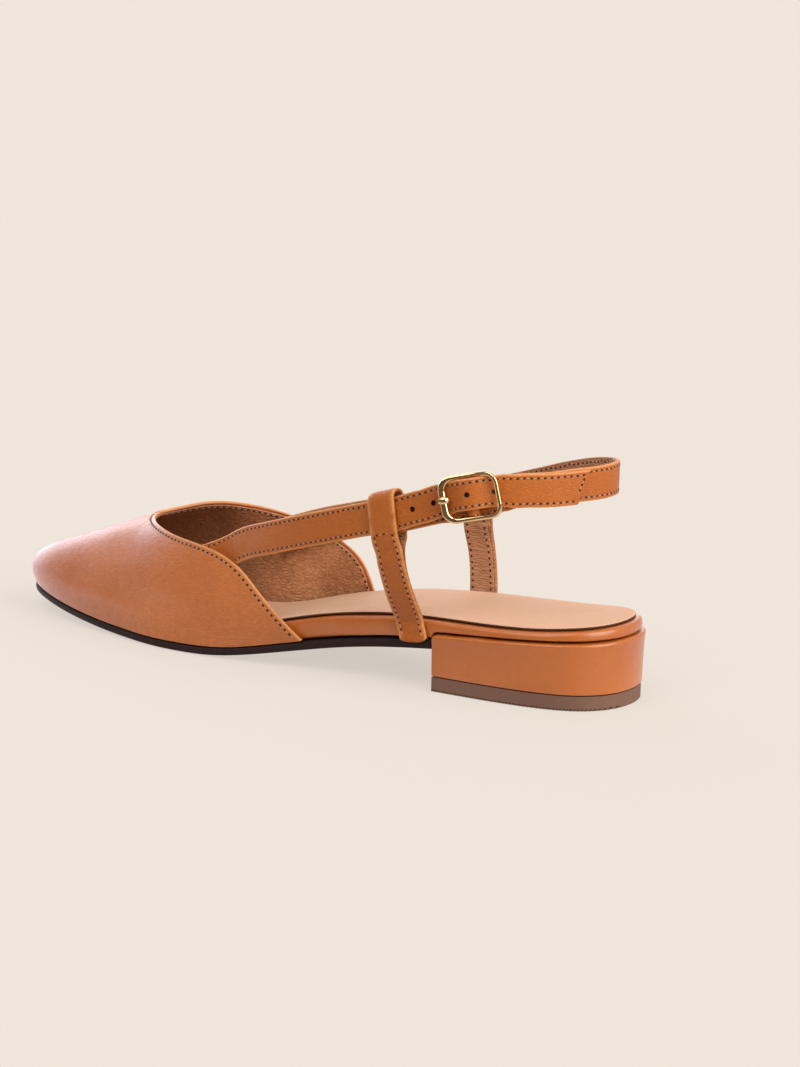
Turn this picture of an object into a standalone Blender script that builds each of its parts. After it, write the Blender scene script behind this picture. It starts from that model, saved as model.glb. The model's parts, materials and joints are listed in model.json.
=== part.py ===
"""A slingback ballet flat for the left foot: the solids of its maker's pieces.

Sizes are in millimetres until a mesh is made. A place on the shoe is (t, y, z): t runs forward from
the back of the heel, y towards the inner (medial) side of the foot, and z up from the floor. In the
finished model the toe points to -X and the origin lies under the middle of the shoe, buckle included.
"""

import math

import bmesh
import bpy
import numpy as np
from mathutils import Vector

MM = 0.001
GAP = 0.3  # between two pieces that touch on the real shoe

# Driving sizes
LENGTH = 254.0  # over the leather of the toe
MIDDLE = -4.8  # the y of the middle of the shoe's whole width, which the buckle widens on one side
HEEL_BREAST = 65.0  # length of the heel block, from its back to its flat front
TOP_PIECE_HEIGHT = 5.2
OUTSOLE_END = HEEL_BREAST + 2 * GAP
WALL = 1.8  # the upper: leather, interlining and lining
INSOLE_THICKNESS = 1.0
MIDSOLE_EDGE = 1.6  # how far the midsole's upper edge is rounded
STRAP_WIDTH = 11.5
STRAP_THICKNESS = 1.8
SIDE_STRAP_WIDTH = 11.0
SIDE_STRAP_THICKNESS = 1.4

SIDES = {"lateral": -1, "medial": 1}


def table(columns, *rows):
    """A dictionary with one array for each named column."""
    return dict(zip(columns.split(), np.array(rows, float).T))


# The edge of the outsole in plan: how far each side lies from the middle line.
OUTLINE = table(
    "t lateral medial",
    (3.0, 11.6, 11.9),
    (10.5, 20.3, 20.4),
    (24.0, 24.9, 24.4),
    (45.0, 26.2, 25.4),
    (70.0, 25.4, 24.2),
    (95.0, 24.8, 24.0),
    (118.0, 26.0, 25.8),
    (140.0, 28.0, 29.6),
    (160.0, 29.3, 32.2),
    (178.0, 28.0, 32.0),
    (195.0, 23.6, 28.6),
    (213.0, 18.4, 25.2),
    (230.0, 11.6, 20.2),
    (241.0, 5.6, 16.2),
    (248.5, -0.6, 11.6),
)
HEEL_BACK = (0.6, 0.2)
TOE_TIP = (251.2, 5.8)

# Heights along the shoe: the underside of the outsole, its thickness, and the top of the midsole.
SOLE_PROFILE = table(
    "t bottom thickness midsole_top",
    (0.0, 17.5, 3.4, 28.6),
    (15.0, 17.2, 3.4, 27.3),
    (28.0, 16.8, 3.4, 26.0),
    (45.0, 15.9, 3.4, 25.3),
    (66.0, 14.6, 3.4, 24.9),
    (84.0, 12.6, 3.4, 23.8),
    (98.0, 10.6, 3.3, 22.0),
    (112.0, 7.9, 3.2, 19.4),
    (128.0, 4.5, 3.1, 15.4),
    (142.0, 1.7, 3.0, 11.0),
    (152.0, 0.3, 3.0, 8.0),
    (158.0, 0.0, 3.0, 7.0),
    (176.0, 0.0, 3.0, 6.3),
    (198.0, 0.7, 2.9, 6.8),
    (216.0, 2.2, 2.8, 8.0),
    (232.0, 3.9, 2.7, 9.4),
    (250.0, 6.2, 2.6, 11.4),
)
# The leather-covered heel block: its top edge stands a little proud of the midsole.
BLOCK_TOP = table("t z", (0.0, 24.0), (20.0, 23.0), (HEEL_BREAST, 20.2))
BLOCK_PROUD = 0.8

# The ribs of the upper: each starts at the edge of the sole, swells by bulge, and ends at the crown.
RIBS = table(
    "t crown crown_y rise lateral_span medial_span bulge",
    (112.0, 84.0, 3.0, 0.44, 0.90, 0.90, 5.0),
    (132.0, 76.0, 4.0, 0.44, 0.90, 0.90, 6.0),
    (150.0, 67.0, 5.0, 0.46, 0.84, 0.86, 6.0),
    (168.0, 56.5, 6.0, 0.50, 0.70, 0.80, 5.0),
    (182.0, 49.0, 6.6, 0.54, 0.60, 0.74, 4.6),
    (196.5, 41.8, 6.8, 0.56, 0.56, 0.68, 4.6),
    (206.0, 38.2, 6.6, 0.56, 0.54, 0.62, 4.8),
    (215.0, 34.8, 6.4, 0.56, 0.54, 0.58, 5.0),
    (224.0, 31.3, 6.2, 0.56, 0.54, 0.56, 6.4),
    (234.0, 27.4, 5.8, 0.56, 0.54, 0.54, 9.4),
)
THROAT = 196.5  # where the opening starts on the crown
CROWN_END = 233.0  # where the ribs round the toe meet
FEATHER_INSET = 0.2
REAR_RIBS = 18  # on each side, behind the throat
FRONT_RIBS = 14  # on each side, round the toe
RIB_POINTS = 13

# The edge of the opening. Girth counts from 0 at the lateral edge of the sole, up each rib to 1 at the
# crown, and down to 2 at the medial edge; t is where the opening starts at that girth.
TOPLINE = table(
    "girth t",
    (0.00, 116.5),
    (0.07, 122.3),
    (0.14, 127.0),
    (0.21, 132.0),
    (0.30, 137.8),
    (0.37, 143.6),
    (0.43, 151.0),
    (0.48, 160.0),
    (0.52, 168.0),
    (0.58, 176.5),
    (0.66, 184.4),
    (0.75, 190.6),
    (0.87, 195.2),
    (1.00, THROAT),
    (1.09, 194.2),
    (1.17, 186.8),
    (1.25, 180.2),
    (1.34, 172.6),
    (1.42, 163.4),
    (1.49, 154.6),
    (1.58, 143.0),
    (1.67, 131.6),
    (1.76, 123.6),
    (1.88, 118.4),
    (2.00, 113.5),
)

# The middle line of the straps, from under the lateral topline round the heel to the medial one.
# Where a row has no y, the strap lies against the inside of the upper.
LATERAL_TUCK = table("t z", (166.0, 31.0), (158.0, 34.4), (150.0, 37.9))
MEDIAL_TUCK = table("t z", (150.0, 37.6), (158.0, 34.4), (166.0, 31.2))
STRAP_LINE = table(
    "t y z",
    (140.0, -25.2, 42.5),
    (128.0, -29.2, 46.8),
    (115.0, -32.3, 50.9),
    (100.0, -34.9, 55.4),
    (86.0, -36.8, 59.7),
    (72.0, -37.9, 64.1),
    (58.0, -37.2, 68.5),
    (47.5, -35.4, 71.6),
    (37.5, -32.6, 73.7),
    (28.0, -27.6, 75.0),
    (19.5, -19.6, 75.6),
    (13.2, -10.0, 76.1),
    (10.6, 0.0, 76.5),
    (14.2, 10.4, 75.9),
    (24.0, 18.6, 74.1),
    (38.0, 24.8, 70.3),
    (54.0, 29.0, 65.0),
    (70.0, 31.0, 59.9),
    (88.0, 31.6, 54.5),
    (106.0, 31.0, 49.6),
    (124.0, 29.7, 44.9),
    (138.0, 28.0, 41.1),
)
BILLET_TIP = 15.5  # the free end stops here, on the lateral side
TIP_SLANT = 5.0  # from the lower edge of the free end's tip to the upper one
UNDERLAY_END = 79.0  # the heel strap runs on under the buckle into the loop
SIDE_STRAP_LOOP = {"lateral": 77.0, "medial": 80.0}
SIDE_STRAP_FOOT = {"lateral": 73.5, "medial": 72.5}
FOOT_SLANT = (1.8, 0.8, 0.0)  # how far the foot of a side strap leans back, from its lower end up
SIDE_STRAP_STAND_OFF = 0.5  # from the edge of the midsole
SIDE_STRAP_BULGE = 1.0  # outwards, half way up
LOOP_RISE = 2.3  # of the loop's arch over the strap's top edge
LOOP_CLOSE = 5.0  # below the carried strap, where the side strap lies against itself
LOOP_END = 6.4  # below the carried strap, where the folded end stops
RAND_INSET = 0.5  # of the midsole from the outline, behind the quarters
RAND_START, RAND_SPAN = 96.0, 17.0  # where the edge of the midsole starts to go inside the upper
INSOLE_BACK, INSOLE_GAIN = 2.4, 1.8  # how far the insole lies inside the midsole, and the change ahead
LAYER = (STRAP_THICKNESS + GAP) / 2  # each of the two straps lies this far off the middle line
TUCK_CLEAR = 1.3  # extra room between the tucked ends and the wall

# How far the heel strap lies below the free end, by distance past the buckle's bar towards the heel.
UNDERLAY = table("beyond drop", (-40.0, 1.9), (8.0, 1.9), (22.0, 1.1), (35.0, -0.5), (52.0, 0.0))
# How far the free end rides up, by the same distance: it comes up to the buckle's upper rail.
BILLET_RISE = table(
    "beyond rise", (-46.0, 0.0), (-30.0, -0.5), (-18.0, -0.1), (-4.0, 0.6), (4.0, 0.7), (13.0, 0.6), (26.0, 0.0)
)

# The buckle: a frame with a bar across its middle, which the heel strap folds round.
BUCKLE_PLACE = 46.0
FRAME_LENGTH = 22.0
FRAME_HEIGHT = 16.3
FRAME_CORNER = 3.8  # along the middle of the rails
RAIL = 0.85  # half the height of the long rails, and half the depth of the whole frame
END_RAIL = 1.15  # half the width of the two end rails, which cross the strap
BAR_RADIUS = 0.9
FOLD_INNER = BAR_RADIUS + GAP
FOLD_OUTER = 2.1
FOLD_ENDS = (2.0, 5.2)  # the fold is slit in its middle for the prong
BAR_LEVEL = FOLD_INNER  # outwards from the straps' middle line
HUMP_REACH = 8.6  # how the free end climbs over the bar between the end rails
HUMP_TOP = 1.12
BUCKLE_LIFT = 0.35
HOLE_RADIUS = 1.0
HOLE_SPACING = 7.2
PRONG_HOLE = -6.4  # from the bar, towards the toe
PRONG_HOLE_RADIUS = 1.7
PRONG_RING = 1.9
PRONG_HALF_WIDTH = 1.0
PRONG_HALF_THICKNESS = 0.6

OUTLINE_COUNT = 2400


# ---------------------------------------------------------------- curves and tables


class Spline:
    """A cubic through points at increasing parameters, natural at its ends or closed on itself."""

    def __init__(self, x, y, closed=False):
        self.x = np.asarray(x, float)
        self.y = np.asarray(y, float)
        n = len(self.x)
        step = np.diff(self.x)
        matrix = np.zeros((n, n))
        right = np.zeros(self.y.shape)
        slope = np.diff(self.y, axis=0) / step.reshape((-1,) + (1,) * (self.y.ndim - 1))
        for i in range(1, n - 1):
            matrix[i, i - 1 : i + 2] = step[i - 1], 2 * (step[i - 1] + step[i]), step[i]
            right[i] = 6 * (slope[i] - slope[i - 1])
        if closed:
            matrix[0, [0, 1, n - 2]] = 2 * (step[0] + step[-1]), step[0], step[-1]
            right[0] = 6 * (slope[0] - slope[-1])
            matrix[-1, [0, -1]] = 1, -1
        else:
            matrix[0, 0] = matrix[-1, -1] = 1
        self.bend = np.linalg.solve(matrix, right)

    def __call__(self, at):
        at = np.asarray(at, float)
        i = np.clip(np.searchsorted(self.x, at, side="right") - 1, 0, len(self.x) - 2)
        step = self.x[i + 1] - self.x[i]
        shape = at.shape + (1,) * (self.y.ndim - 1)
        b = ((at - self.x[i]) / step).reshape(shape)
        step = step.reshape(shape)
        a = 1 - b
        curve = (a**3 - a) * self.bend[i] + (b**3 - b) * self.bend[i + 1]
        return a * self.y[i] + b * self.y[i + 1] + curve * step**2 / 6


def steady(x, y):
    """A function through the points that never swings past them (a monotone cubic)."""
    x = np.asarray(x, float)
    y = np.asarray(y, float)
    step = np.diff(x)
    slope = np.diff(y) / step
    tangent = np.zeros(len(x))
    for i in range(1, len(x) - 1):
        if slope[i - 1] * slope[i] > 0:
            weights = 2 * step[i] + step[i - 1], step[i] + 2 * step[i - 1]
            tangent[i] = sum(weights) / (weights[0] / slope[i - 1] + weights[1] / slope[i])
    tangent[0], tangent[-1] = slope[0], slope[-1]

    def at(value):
        value = np.clip(value, x[0], x[-1])
        i = np.clip(np.searchsorted(x, value, side="right") - 1, 0, len(x) - 2)
        u = (value - x[i]) / step[i]
        rise = y[i] * (2 * u**3 - 3 * u**2 + 1) + y[i + 1] * (3 * u**2 - 2 * u**3)
        lean = tangent[i] * (u**3 - 2 * u**2 + u) + tangent[i + 1] * (u**3 - u**2)
        return rise + lean * step[i]

    return at


def along(points):
    """The distance along a chain of points, from its first one."""
    return np.concatenate([[0], np.cumsum(np.linalg.norm(np.diff(points, axis=0), axis=1))])


def unit(vector):
    vector = np.asarray(vector, float)
    return vector / np.linalg.norm(vector, axis=-1, keepdims=True)


def smooth_step(value):
    value = min(max(value, 0.0), 1.0)
    return value * value * (3 - 2 * value)


# ---------------------------------------------------------------- the sole's own shape

sole_bottom = steady(SOLE_PROFILE["t"], SOLE_PROFILE["bottom"])
sole_thickness = steady(SOLE_PROFILE["t"], SOLE_PROFILE["thickness"])
midsole_top = steady(SOLE_PROFILE["t"], SOLE_PROFILE["midsole_top"])
block_top = steady(BLOCK_TOP["t"], BLOCK_TOP["z"])


def outsole_top(t):
    return sole_bottom(t) + sole_thickness(t)


def feather_height(t):
    """Where the upper stands on the outsole."""
    return outsole_top(t) + GAP


def outline_chains():
    """For each side, the outline from the heel's back to the toe's tip: t, y and the outward normal."""
    lateral = list(zip(OUTLINE["t"], -OUTLINE["lateral"]))
    medial = list(zip(OUTLINE["t"], OUTLINE["medial"]))
    points = [HEEL_BACK] + lateral + [TOE_TIP] + medial[::-1] + [HEEL_BACK]
    points = np.array(points, float)
    spline = Spline(along(points), points, closed=True)
    dense = spline(np.linspace(0, spline.x[-1], OUTLINE_COUNT))
    ahead = unit(np.roll(dense[:-1], -1, axis=0) - np.roll(dense[:-1], 1, axis=0))
    ahead = np.vstack([ahead, ahead[:1]])
    normal = np.stack([ahead[:, 1], -ahead[:, 0]], axis=1)
    rows = np.hstack([dense, normal])
    start = int(np.argmin(rows[:-1, 0]))
    rows = np.vstack([rows[start:-1], rows[: start + 1]])
    tip = int(np.argmax(rows[:, 0]))
    return {"lateral": rows[: tip + 1], "medial": rows[tip:][::-1]}


CHAINS = outline_chains()
OUTLINE_START = float(CHAINS["lateral"][0, 0])
OUTLINE_END = float(CHAINS["lateral"][-1, 0])


def outline(side, t, inset=0.0):
    """The outline's (t, y) where it passes t, moved in by inset square to the edge."""
    chain = CHAINS[side]
    t = min(max(t, OUTLINE_START), OUTLINE_END)
    y, normal_t, normal_y = (np.interp(t, chain[:, 0], chain[:, k]) for k in (1, 2, 3))
    length = math.hypot(normal_t, normal_y)
    return t - inset * normal_t / length, y - inset * normal_y / length


def fine_at_both_ends(start, end, count):
    """Stations that crowd together towards both round ends."""
    turn = np.linspace(0, math.pi, count)
    return start + (end - start) * (1 - np.cos(turn)) / 2


def fine_at_start(start, end, count):
    turn = np.linspace(0, math.pi / 2, count)
    return start + (end - start) * (1 - np.cos(turn))


def slab_sections(stations, rings, columns):
    """Closed sections across the shoe. Each ring is (inset, height) as functions of t, listed from
    the middle of the underside outwards, up the edge and in over the top."""
    sections = []
    for t in stations:
        edges = {}
        for side in SIDES:
            edges[side] = []
            for inset, height in rings:
                place, y = outline(side, t, inset(t))
                edges[side].append((place, y, float(height(place))))
        lateral = np.array(edges["lateral"])
        medial = np.array(edges["medial"])
        share = np.linspace(0, 1, columns + 1)[1:-1, None]
        over = lateral[-1] * (1 - share) + medial[-1] * share
        under = medial[0] * (1 - share) + lateral[0] * share
        sections.append(np.vstack([lateral, over, medial[::-1], under]))
    return sections


# ---------------------------------------------------------------- the upper's own shape

rib_crown = Spline(RIBS["t"], RIBS["crown"])
rib_crown_y = steady(RIBS["t"], RIBS["crown_y"])
rib_rise = steady(RIBS["t"], RIBS["rise"])
rib_span = {side: steady(RIBS["t"], RIBS[side + "_span"]) for side in SIDES}
rib_bulge = steady(RIBS["t"], RIBS["bulge"])
topline = steady(TOPLINE["girth"], TOPLINE["t"])


def rib(side, foot, crown, fractions):
    """Points up one rib of the upper's outer face, from the outline at foot to the crown line at crown."""
    foot_t, foot_y = outline(side, foot, FEATHER_INSET)
    start = np.array([foot_t, foot_y, feather_height(foot_t)])
    end = np.array([crown, float(rib_crown_y(crown)), float(rib_crown(crown))])
    reach = start[:2] - end[:2]
    distance = np.linalg.norm(reach)
    outward = np.array([*(reach / distance), 0.0])
    height = end[2] - start[2]
    slope = float(rib_crown(crown + 0.5) - rib_crown(crown - 0.5))
    lift = start + outward * rib_bulge(crown)
    lift[2] += rib_rise(crown) * height
    over = end + outward * rib_span[side](crown) * distance
    over[2] += slope * outward[0] * rib_span[side](crown) * distance
    u = np.linspace(0, 1, 61)[:, None]
    curve = (1 - u) ** 3 * start + 3 * (1 - u) ** 2 * u * lift + 3 * (1 - u) * u**2 * over + u**3 * end
    place = along(curve)
    wanted = np.asarray(fractions) * place[-1]
    return np.stack([np.interp(wanted, place, curve[:, k]) for k in range(3)], axis=1)


def toe_feet(side, count):
    """Stations on the outline, evenly spaced along it from beside the throat round to the tip."""
    chain = CHAINS[side]
    ahead = chain[chain[:, 0] >= THROAT]
    place = along(ahead[:, :2])
    return np.interp(np.linspace(0, place[-1], count), place, ahead[:, 0])


def toe_crowns(count):
    """Where those ribs end on the crown: slower and slower towards CROWN_END."""
    share = np.linspace(0, 1, count)
    return THROAT + (CROWN_END - THROAT) * (1.6 * share - 0.6 * share**2)


def upper_columns():
    """The upper's outer face: for each side, ribs from the quarter's end to the tip of the toe."""
    fractions = np.linspace(0, 1, RIB_POINTS)
    sides = {}
    for side in SIDES:
        columns = []
        for top in np.linspace(0.03, 1, REAR_RIBS):
            t = float(topline(top if side == "lateral" else 2 - top))
            columns.append(rib(side, t, t, fractions * top))
        feet = toe_feet(side, FRONT_RIBS)
        for foot, crown in list(zip(feet, toe_crowns(FRONT_RIBS)))[1:]:
            columns.append(rib(side, foot, crown, fractions))
        sides[side] = columns
    return sides


def inside_wall(side, t, z, clear):
    """The place inside the upper at station t and height z, clear of the wall's inner face."""
    points = rib(side, t, t, np.linspace(0, 1, 81))
    rising = points[: int(np.argmax(points[:, 2])) + 1]
    y, lower = np.interp([z, z - STRAP_WIDTH / 2], rising[:, 2], rising[:, 1])
    up = unit([0.0, y - lower, STRAP_WIDTH / 2])
    inward = np.array([0.0, -SIDES[side] * up[2], SIDES[side] * up[1]])
    return np.array([t, y, z]) + inward * (WALL + clear), up


# ---------------------------------------------------------------- the straps' own line


def strap_rows():
    """The points of the middle line and, at each, the strap's own upward direction."""
    points = []
    ups = []
    clear = GAP + STRAP_THICKNESS / 2 + TUCK_CLEAR
    for t, z in zip(LATERAL_TUCK["t"], LATERAL_TUCK["z"]):
        point, up = inside_wall("lateral", t, z, clear + LAYER)
        points.append(point)
        ups.append(up)
    for t, y, z in zip(STRAP_LINE["t"], STRAP_LINE["y"], STRAP_LINE["z"]):
        points.append((t, y, z))
        ups.append((0, 0, 1))
    for t, z in zip(MEDIAL_TUCK["t"], MEDIAL_TUCK["z"]):
        point, up = inside_wall("medial", t, z, clear - LAYER)
        points.append(point)
        ups.append(up)
    return np.array(points), np.array(ups, float)


class StrapLine:
    """The straps' middle line by distance, with its heading, upward and outward directions."""

    def __init__(self):
        points, ups = strap_rows()
        place = along(points)
        self.point = Spline(place, points)
        self.up = Spline(place, ups)
        self.length = place[-1]
        self.dense = np.linspace(0, self.length, 1500)
        self.dense_t = self.point(self.dense)[:, 0]
        self.back = self.dense[int(np.argmin(self.dense_t))]

    def frame(self, place):
        heading = unit(self.point(place + 0.5) - self.point(place - 0.5))
        up = np.asarray(self.up(place))
        up = unit(up - heading * np.dot(up, heading))
        return self.point(place), heading, up, np.cross(up, heading)

    def at(self, side, t):
        """The distance along the line where it passes t on one side."""
        on_side = self.dense <= self.back if side == "lateral" else self.dense >= self.back
        order = np.argsort(self.dense_t[on_side])
        return float(np.interp(t, self.dense_t[on_side][order], self.dense[on_side][order]))


LINE = StrapLine()
BUCKLE_AT = LINE.at("lateral", BUCKLE_PLACE)
TIP_AT = LINE.at("lateral", BILLET_TIP)
UNDERLAY_AT = LINE.at("lateral", UNDERLAY_END)


def billet_level(offset):
    """How far out the free end lies, at a distance offset from the buckle's bar."""
    over_bar = BAR_LEVEL + FOLD_OUTER + GAP + STRAP_THICKNESS / 2
    return LAYER + (over_bar - LAYER) * smooth_step(HUMP_TOP - abs(offset) / HUMP_REACH)


underlay_drop = steady(BUCKLE_AT + UNDERLAY["beyond"], UNDERLAY["drop"])
billet_rise = steady(BUCKLE_AT + BILLET_RISE["beyond"], BILLET_RISE["rise"])


# ---------------------------------------------------------------- making solids


def world(points):
    """Shoe places (t, y, z) in millimetres to the model's own coordinates in metres."""
    points = np.asarray(points, float)
    return np.stack([LENGTH / 2 - points[..., 0], points[..., 1] - MIDDLE, points[..., 2]], axis=-1) * MM


def material(name, colour, roughness, metallic=0.0):
    made = bpy.data.materials.new(name)
    made.use_nodes = True
    shader = made.node_tree.nodes["Principled BSDF"]
    shader.inputs["Base Color"].default_value = (*colour, 1.0)
    shader.inputs["Roughness"].default_value = roughness
    shader.inputs["Metallic"].default_value = metallic
    return made


def add_object(name, points, faces, look, smooth_angle=35.0):
    """A named object from shoe places and faces. Points that coincide become one."""
    mesh = bpy.data.meshes.new(name)
    mesh.from_pydata([tuple(p) for p in world(points)], [], faces)
    shape = bmesh.new()
    shape.from_mesh(mesh)
    bmesh.ops.remove_doubles(shape, verts=shape.verts, dist=0.00002)
    bmesh.ops.dissolve_degenerate(shape, edges=shape.edges, dist=0.00001)
    bmesh.ops.recalc_face_normals(shape, faces=shape.faces)
    shape.to_mesh(mesh)
    shape.free()
    mesh.shade_smooth()
    mesh.set_sharp_from_angle(angle=math.radians(smooth_angle))
    mesh.materials.append(look)
    made = bpy.data.objects.new(name, mesh)
    bpy.context.collection.objects.link(made)
    return made


def loft(sections):
    """Points and faces of a closed solid through sections that have the same number of points."""
    size = len(sections[0])
    points = np.vstack(sections)
    faces = []
    for k in range(len(sections) - 1):
        for i in range(size):
            j = (i + 1) % size
            faces.append((k * size + i, k * size + j, (k + 1) * size + j, (k + 1) * size + i))
    last = (len(sections) - 1) * size
    faces.append(tuple(range(size))[::-1])
    faces.append(tuple(range(last, last + size)))
    return points, faces


def cut(made, cutter):
    """Takes the cutter's shape out of an object."""
    modifier = made.modifiers.new("cut " + cutter.name, "BOOLEAN")
    modifier.operation = "DIFFERENCE"
    modifier.object = cutter
    hide_helper(cutter)


def join(made, other):
    """Makes a helper's shape part of an object."""
    modifier = made.modifiers.new("join " + other.name, "BOOLEAN")
    modifier.operation = "UNION"
    modifier.object = other
    hide_helper(other)


def hide_helper(helper):
    helper.hide_render = True
    helper.display_type = "WIRE"


def rounded_section(width, thickness, corner):
    """The corners of a strap's section as (across, outward), with its edges rounded off."""
    across, out = width / 2, thickness / 2
    corners = []
    for sign_a, sign_o in ((1, 1), (1, -1), (-1, -1), (-1, 1)):
        pair = [
            (sign_a * (across - corner), sign_o * out),
            (sign_a * across, sign_o * (out - corner)),
        ]
        corners += pair if sign_a * sign_o > 0 else pair[::-1]
    return corners


# ---------------------------------------------------------------- the pieces


def make_outsole(look):
    stations = OUTSOLE_END + OUTLINE_END - fine_at_start(OUTSOLE_END, OUTLINE_END, 26)
    edge = 0.5
    rings = [
        (lambda t: 7.0, sole_bottom),
        (lambda t: edge, sole_bottom),
        (lambda t: 0.0, lambda t: sole_bottom(t) + edge),
        (lambda t: 0.0, lambda t: outsole_top(t) - edge),
        (lambda t: edge, outsole_top),
        (lambda t: 7.0, outsole_top),
    ]
    points, faces = loft(slab_sections(stations[::-1], rings, 2))
    return add_object("outsole", points, faces, look)


def midsole_inset(t):
    """The midsole fills the outline behind the quarters, and the inside of the upper ahead of them."""
    inside = FEATHER_INSET + WALL + 2 * GAP
    return RAND_INSET + (inside - RAND_INSET) * smooth_step((t - RAND_START) / RAND_SPAN)


def make_midsole(look):
    step = OUTSOLE_END
    back = fine_at_start(OUTLINE_START, step - 0.3, 12)
    front = step + OUTLINE_END - fine_at_start(step, OUTLINE_END, 26)
    edge = MIDSOLE_EDGE

    def underside(t):
        return (block_top(t) if t < step - 0.1 else outsole_top(t)) + GAP

    rings = [
        (lambda t: midsole_inset(t) + 0.5, underside),
        (midsole_inset, lambda t: underside(t) + 0.5),
        (midsole_inset, lambda t: midsole_top(t) - edge),
        (lambda t: midsole_inset(t) + 0.3 * edge, lambda t: midsole_top(t) - 0.3 * edge),
        (lambda t: midsole_inset(t) + edge, midsole_top),
    ]
    points, faces = loft(slab_sections([*back, *front[::-1]], rings, 3))
    return add_object("midsole", points, faces, look)


def insole_inset(t):
    return midsole_inset(t) + INSOLE_BACK - INSOLE_GAIN * smooth_step((t - RAND_START) / RAND_SPAN)


def make_insole(look):
    stations = fine_at_both_ends(OUTLINE_START, OUTLINE_END, 34)
    rings = [
        (insole_inset, lambda t: midsole_top(t) + GAP),
        (insole_inset, lambda t: midsole_top(t) + GAP + 0.6 * INSOLE_THICKNESS),
        (lambda t: insole_inset(t) + 0.5, lambda t: midsole_top(t) + GAP + INSOLE_THICKNESS),
    ]
    points, faces = loft(slab_sections(stations, rings, 3))
    return add_object("insole", points, faces, look)


def make_heel_block(look):
    stations = fine_at_start(OUTLINE_START, HEEL_BREAST, 14)
    edge = 1.2
    foot = TOP_PIECE_HEIGHT + GAP
    rings = [
        (lambda t: 0.5, lambda t: foot),
        (lambda t: 0.0, lambda t: foot + 0.5),
        (lambda t: -0.3, lambda t: block_top(t) - 3.0),
        (lambda t: -BLOCK_PROUD, lambda t: block_top(t) - edge),
        (lambda t: 0.3 * edge - BLOCK_PROUD, lambda t: block_top(t) - 0.3 * edge),
        (lambda t: edge - BLOCK_PROUD, block_top),
    ]
    points, faces = loft(slab_sections(stations, rings, 2))
    return add_object("heel_block", points, faces, look)


def make_top_piece(look):
    stations = fine_at_start(OUTLINE_START, HEEL_BREAST, 14)
    edge = 0.4
    rings = [
        (lambda t: 0.3 + edge, lambda t: 0.0),
        (lambda t: 0.3, lambda t: edge),
        (lambda t: 0.3, lambda t: TOP_PIECE_HEIGHT - edge),
        (lambda t: 0.3 + edge, lambda t: TOP_PIECE_HEIGHT),
    ]
    points, faces = loft(slab_sections(stations, rings, 1))
    return add_object("top_piece", points, faces, look)


def make_upper(look):
    """One hollow wall, open at the throat, between the quarters and underneath."""
    rows = RIB_POINTS
    sides = upper_columns()
    columns = sides["lateral"] + sides["medial"][-2::-1]
    outer = np.array(columns)
    count = len(columns)

    sheet = bmesh.new()
    verts = [[sheet.verts.new(p) for p in column] for column in outer]
    for i in range(count - 1):
        for j in range(rows - 1):
            sheet.faces.new((verts[i][j], verts[i + 1][j], verts[i + 1][j + 1], verts[i][j + 1]))
    front = range(REAR_RIBS - 1, len(sides["lateral"]) - 1)
    welded = {verts[count - 1 - i][-1]: verts[i][-1] for i in front}
    sheet.normal_update()
    shared = {}
    for vert in (v for column in verts for v in column):
        key = welded.get(vert, vert)
        shared[key] = shared.get(key, Vector()) + vert.normal
    normals = np.array(
        [[shared[welded.get(vert, vert)].normalized() for vert in column] for column in verts]
    )
    sheet.free()

    middle = outer[:, : rows // 2].mean(axis=(0, 1))
    if np.mean(np.sum(normals * (outer - middle), axis=2)) < 0:
        normals = -normals
    inner = outer - WALL * normals
    for i in range(count):
        place = outer[i, 0]
        flat = unit([normals[i, 0, 0], normals[i, 0, 1], 0.0])
        inner[i, 0] = place - WALL * flat
        inner[i, 0, 2] = place[2]

    points = np.concatenate([outer.reshape(-1, 3), inner.reshape(-1, 3)])
    second = count * rows

    def index(i, j):
        return i * rows + j

    faces = []
    for i in range(count - 1):
        for j in range(rows - 1):
            quad = (index(i, j), index(i + 1, j), index(i + 1, j + 1), index(i, j + 1))
            faces.append(quad)
            faces.append(tuple(second + k for k in quad[::-1]))
    rim = [index(i, 0) for i in range(count)]
    edges = [(rim[k], rim[k + 1]) for k in range(count - 1)]
    throat = REAR_RIBS - 1
    for i in list(range(throat)) + list(range(count - 1 - throat, count - 1)):
        edges.append((index(i, rows - 1), index(i + 1, rows - 1)))
    for i in (0, count - 1):
        edges += [(index(i, j), index(i, j + 1)) for j in range(rows - 1)]
    faces += [(a, b, second + b, second + a) for a, b in edges]
    return add_object("upper", points, faces, look, 40.0)


def strap_sections(places, level, drop, width, thickness, slant=0.0):
    """Sections of a strap that follows the middle line."""
    corners = rounded_section(width, thickness, 0.45)
    sections = []
    for k, place in enumerate(places):
        tilt = slant if k == len(places) - 1 else 0.0
        section = []
        for across, out in corners:
            point, heading, up, outward = LINE.frame(place + tilt * across / width)
            lift = level(place) + out
            section.append(point + up * (across - drop(place)) + outward * lift)
        sections.append(np.array(section))
    return sections


def make_billet(look):
    """The strap's free end, from under the lateral topline through the loop and the buckle."""
    near_buckle = BUCKLE_AT + np.linspace(-13, 13, 19)
    places = np.concatenate(
        [np.linspace(2, near_buckle[0], 22)[:-1], near_buckle, np.linspace(near_buckle[-1], TIP_AT, 10)[1:]]
    )
    sections = strap_sections(
        places,
        lambda s: billet_level(s - BUCKLE_AT),
        lambda s: -billet_rise(s),
        STRAP_WIDTH,
        STRAP_THICKNESS,
        TIP_SLANT,
    )
    points, faces = loft(sections)
    billet = add_object("billet_strap", points, faces, look)
    for step in range(-2, 3):
        offset = PRONG_HOLE + step * HOLE_SPACING
        radius = HOLE_RADIUS if step else PRONG_HOLE_RADIUS
        cut(billet, make_punch("hole_%d" % (step + 3), BUCKLE_AT + offset, billet_level(offset), radius))
    return billet


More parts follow.
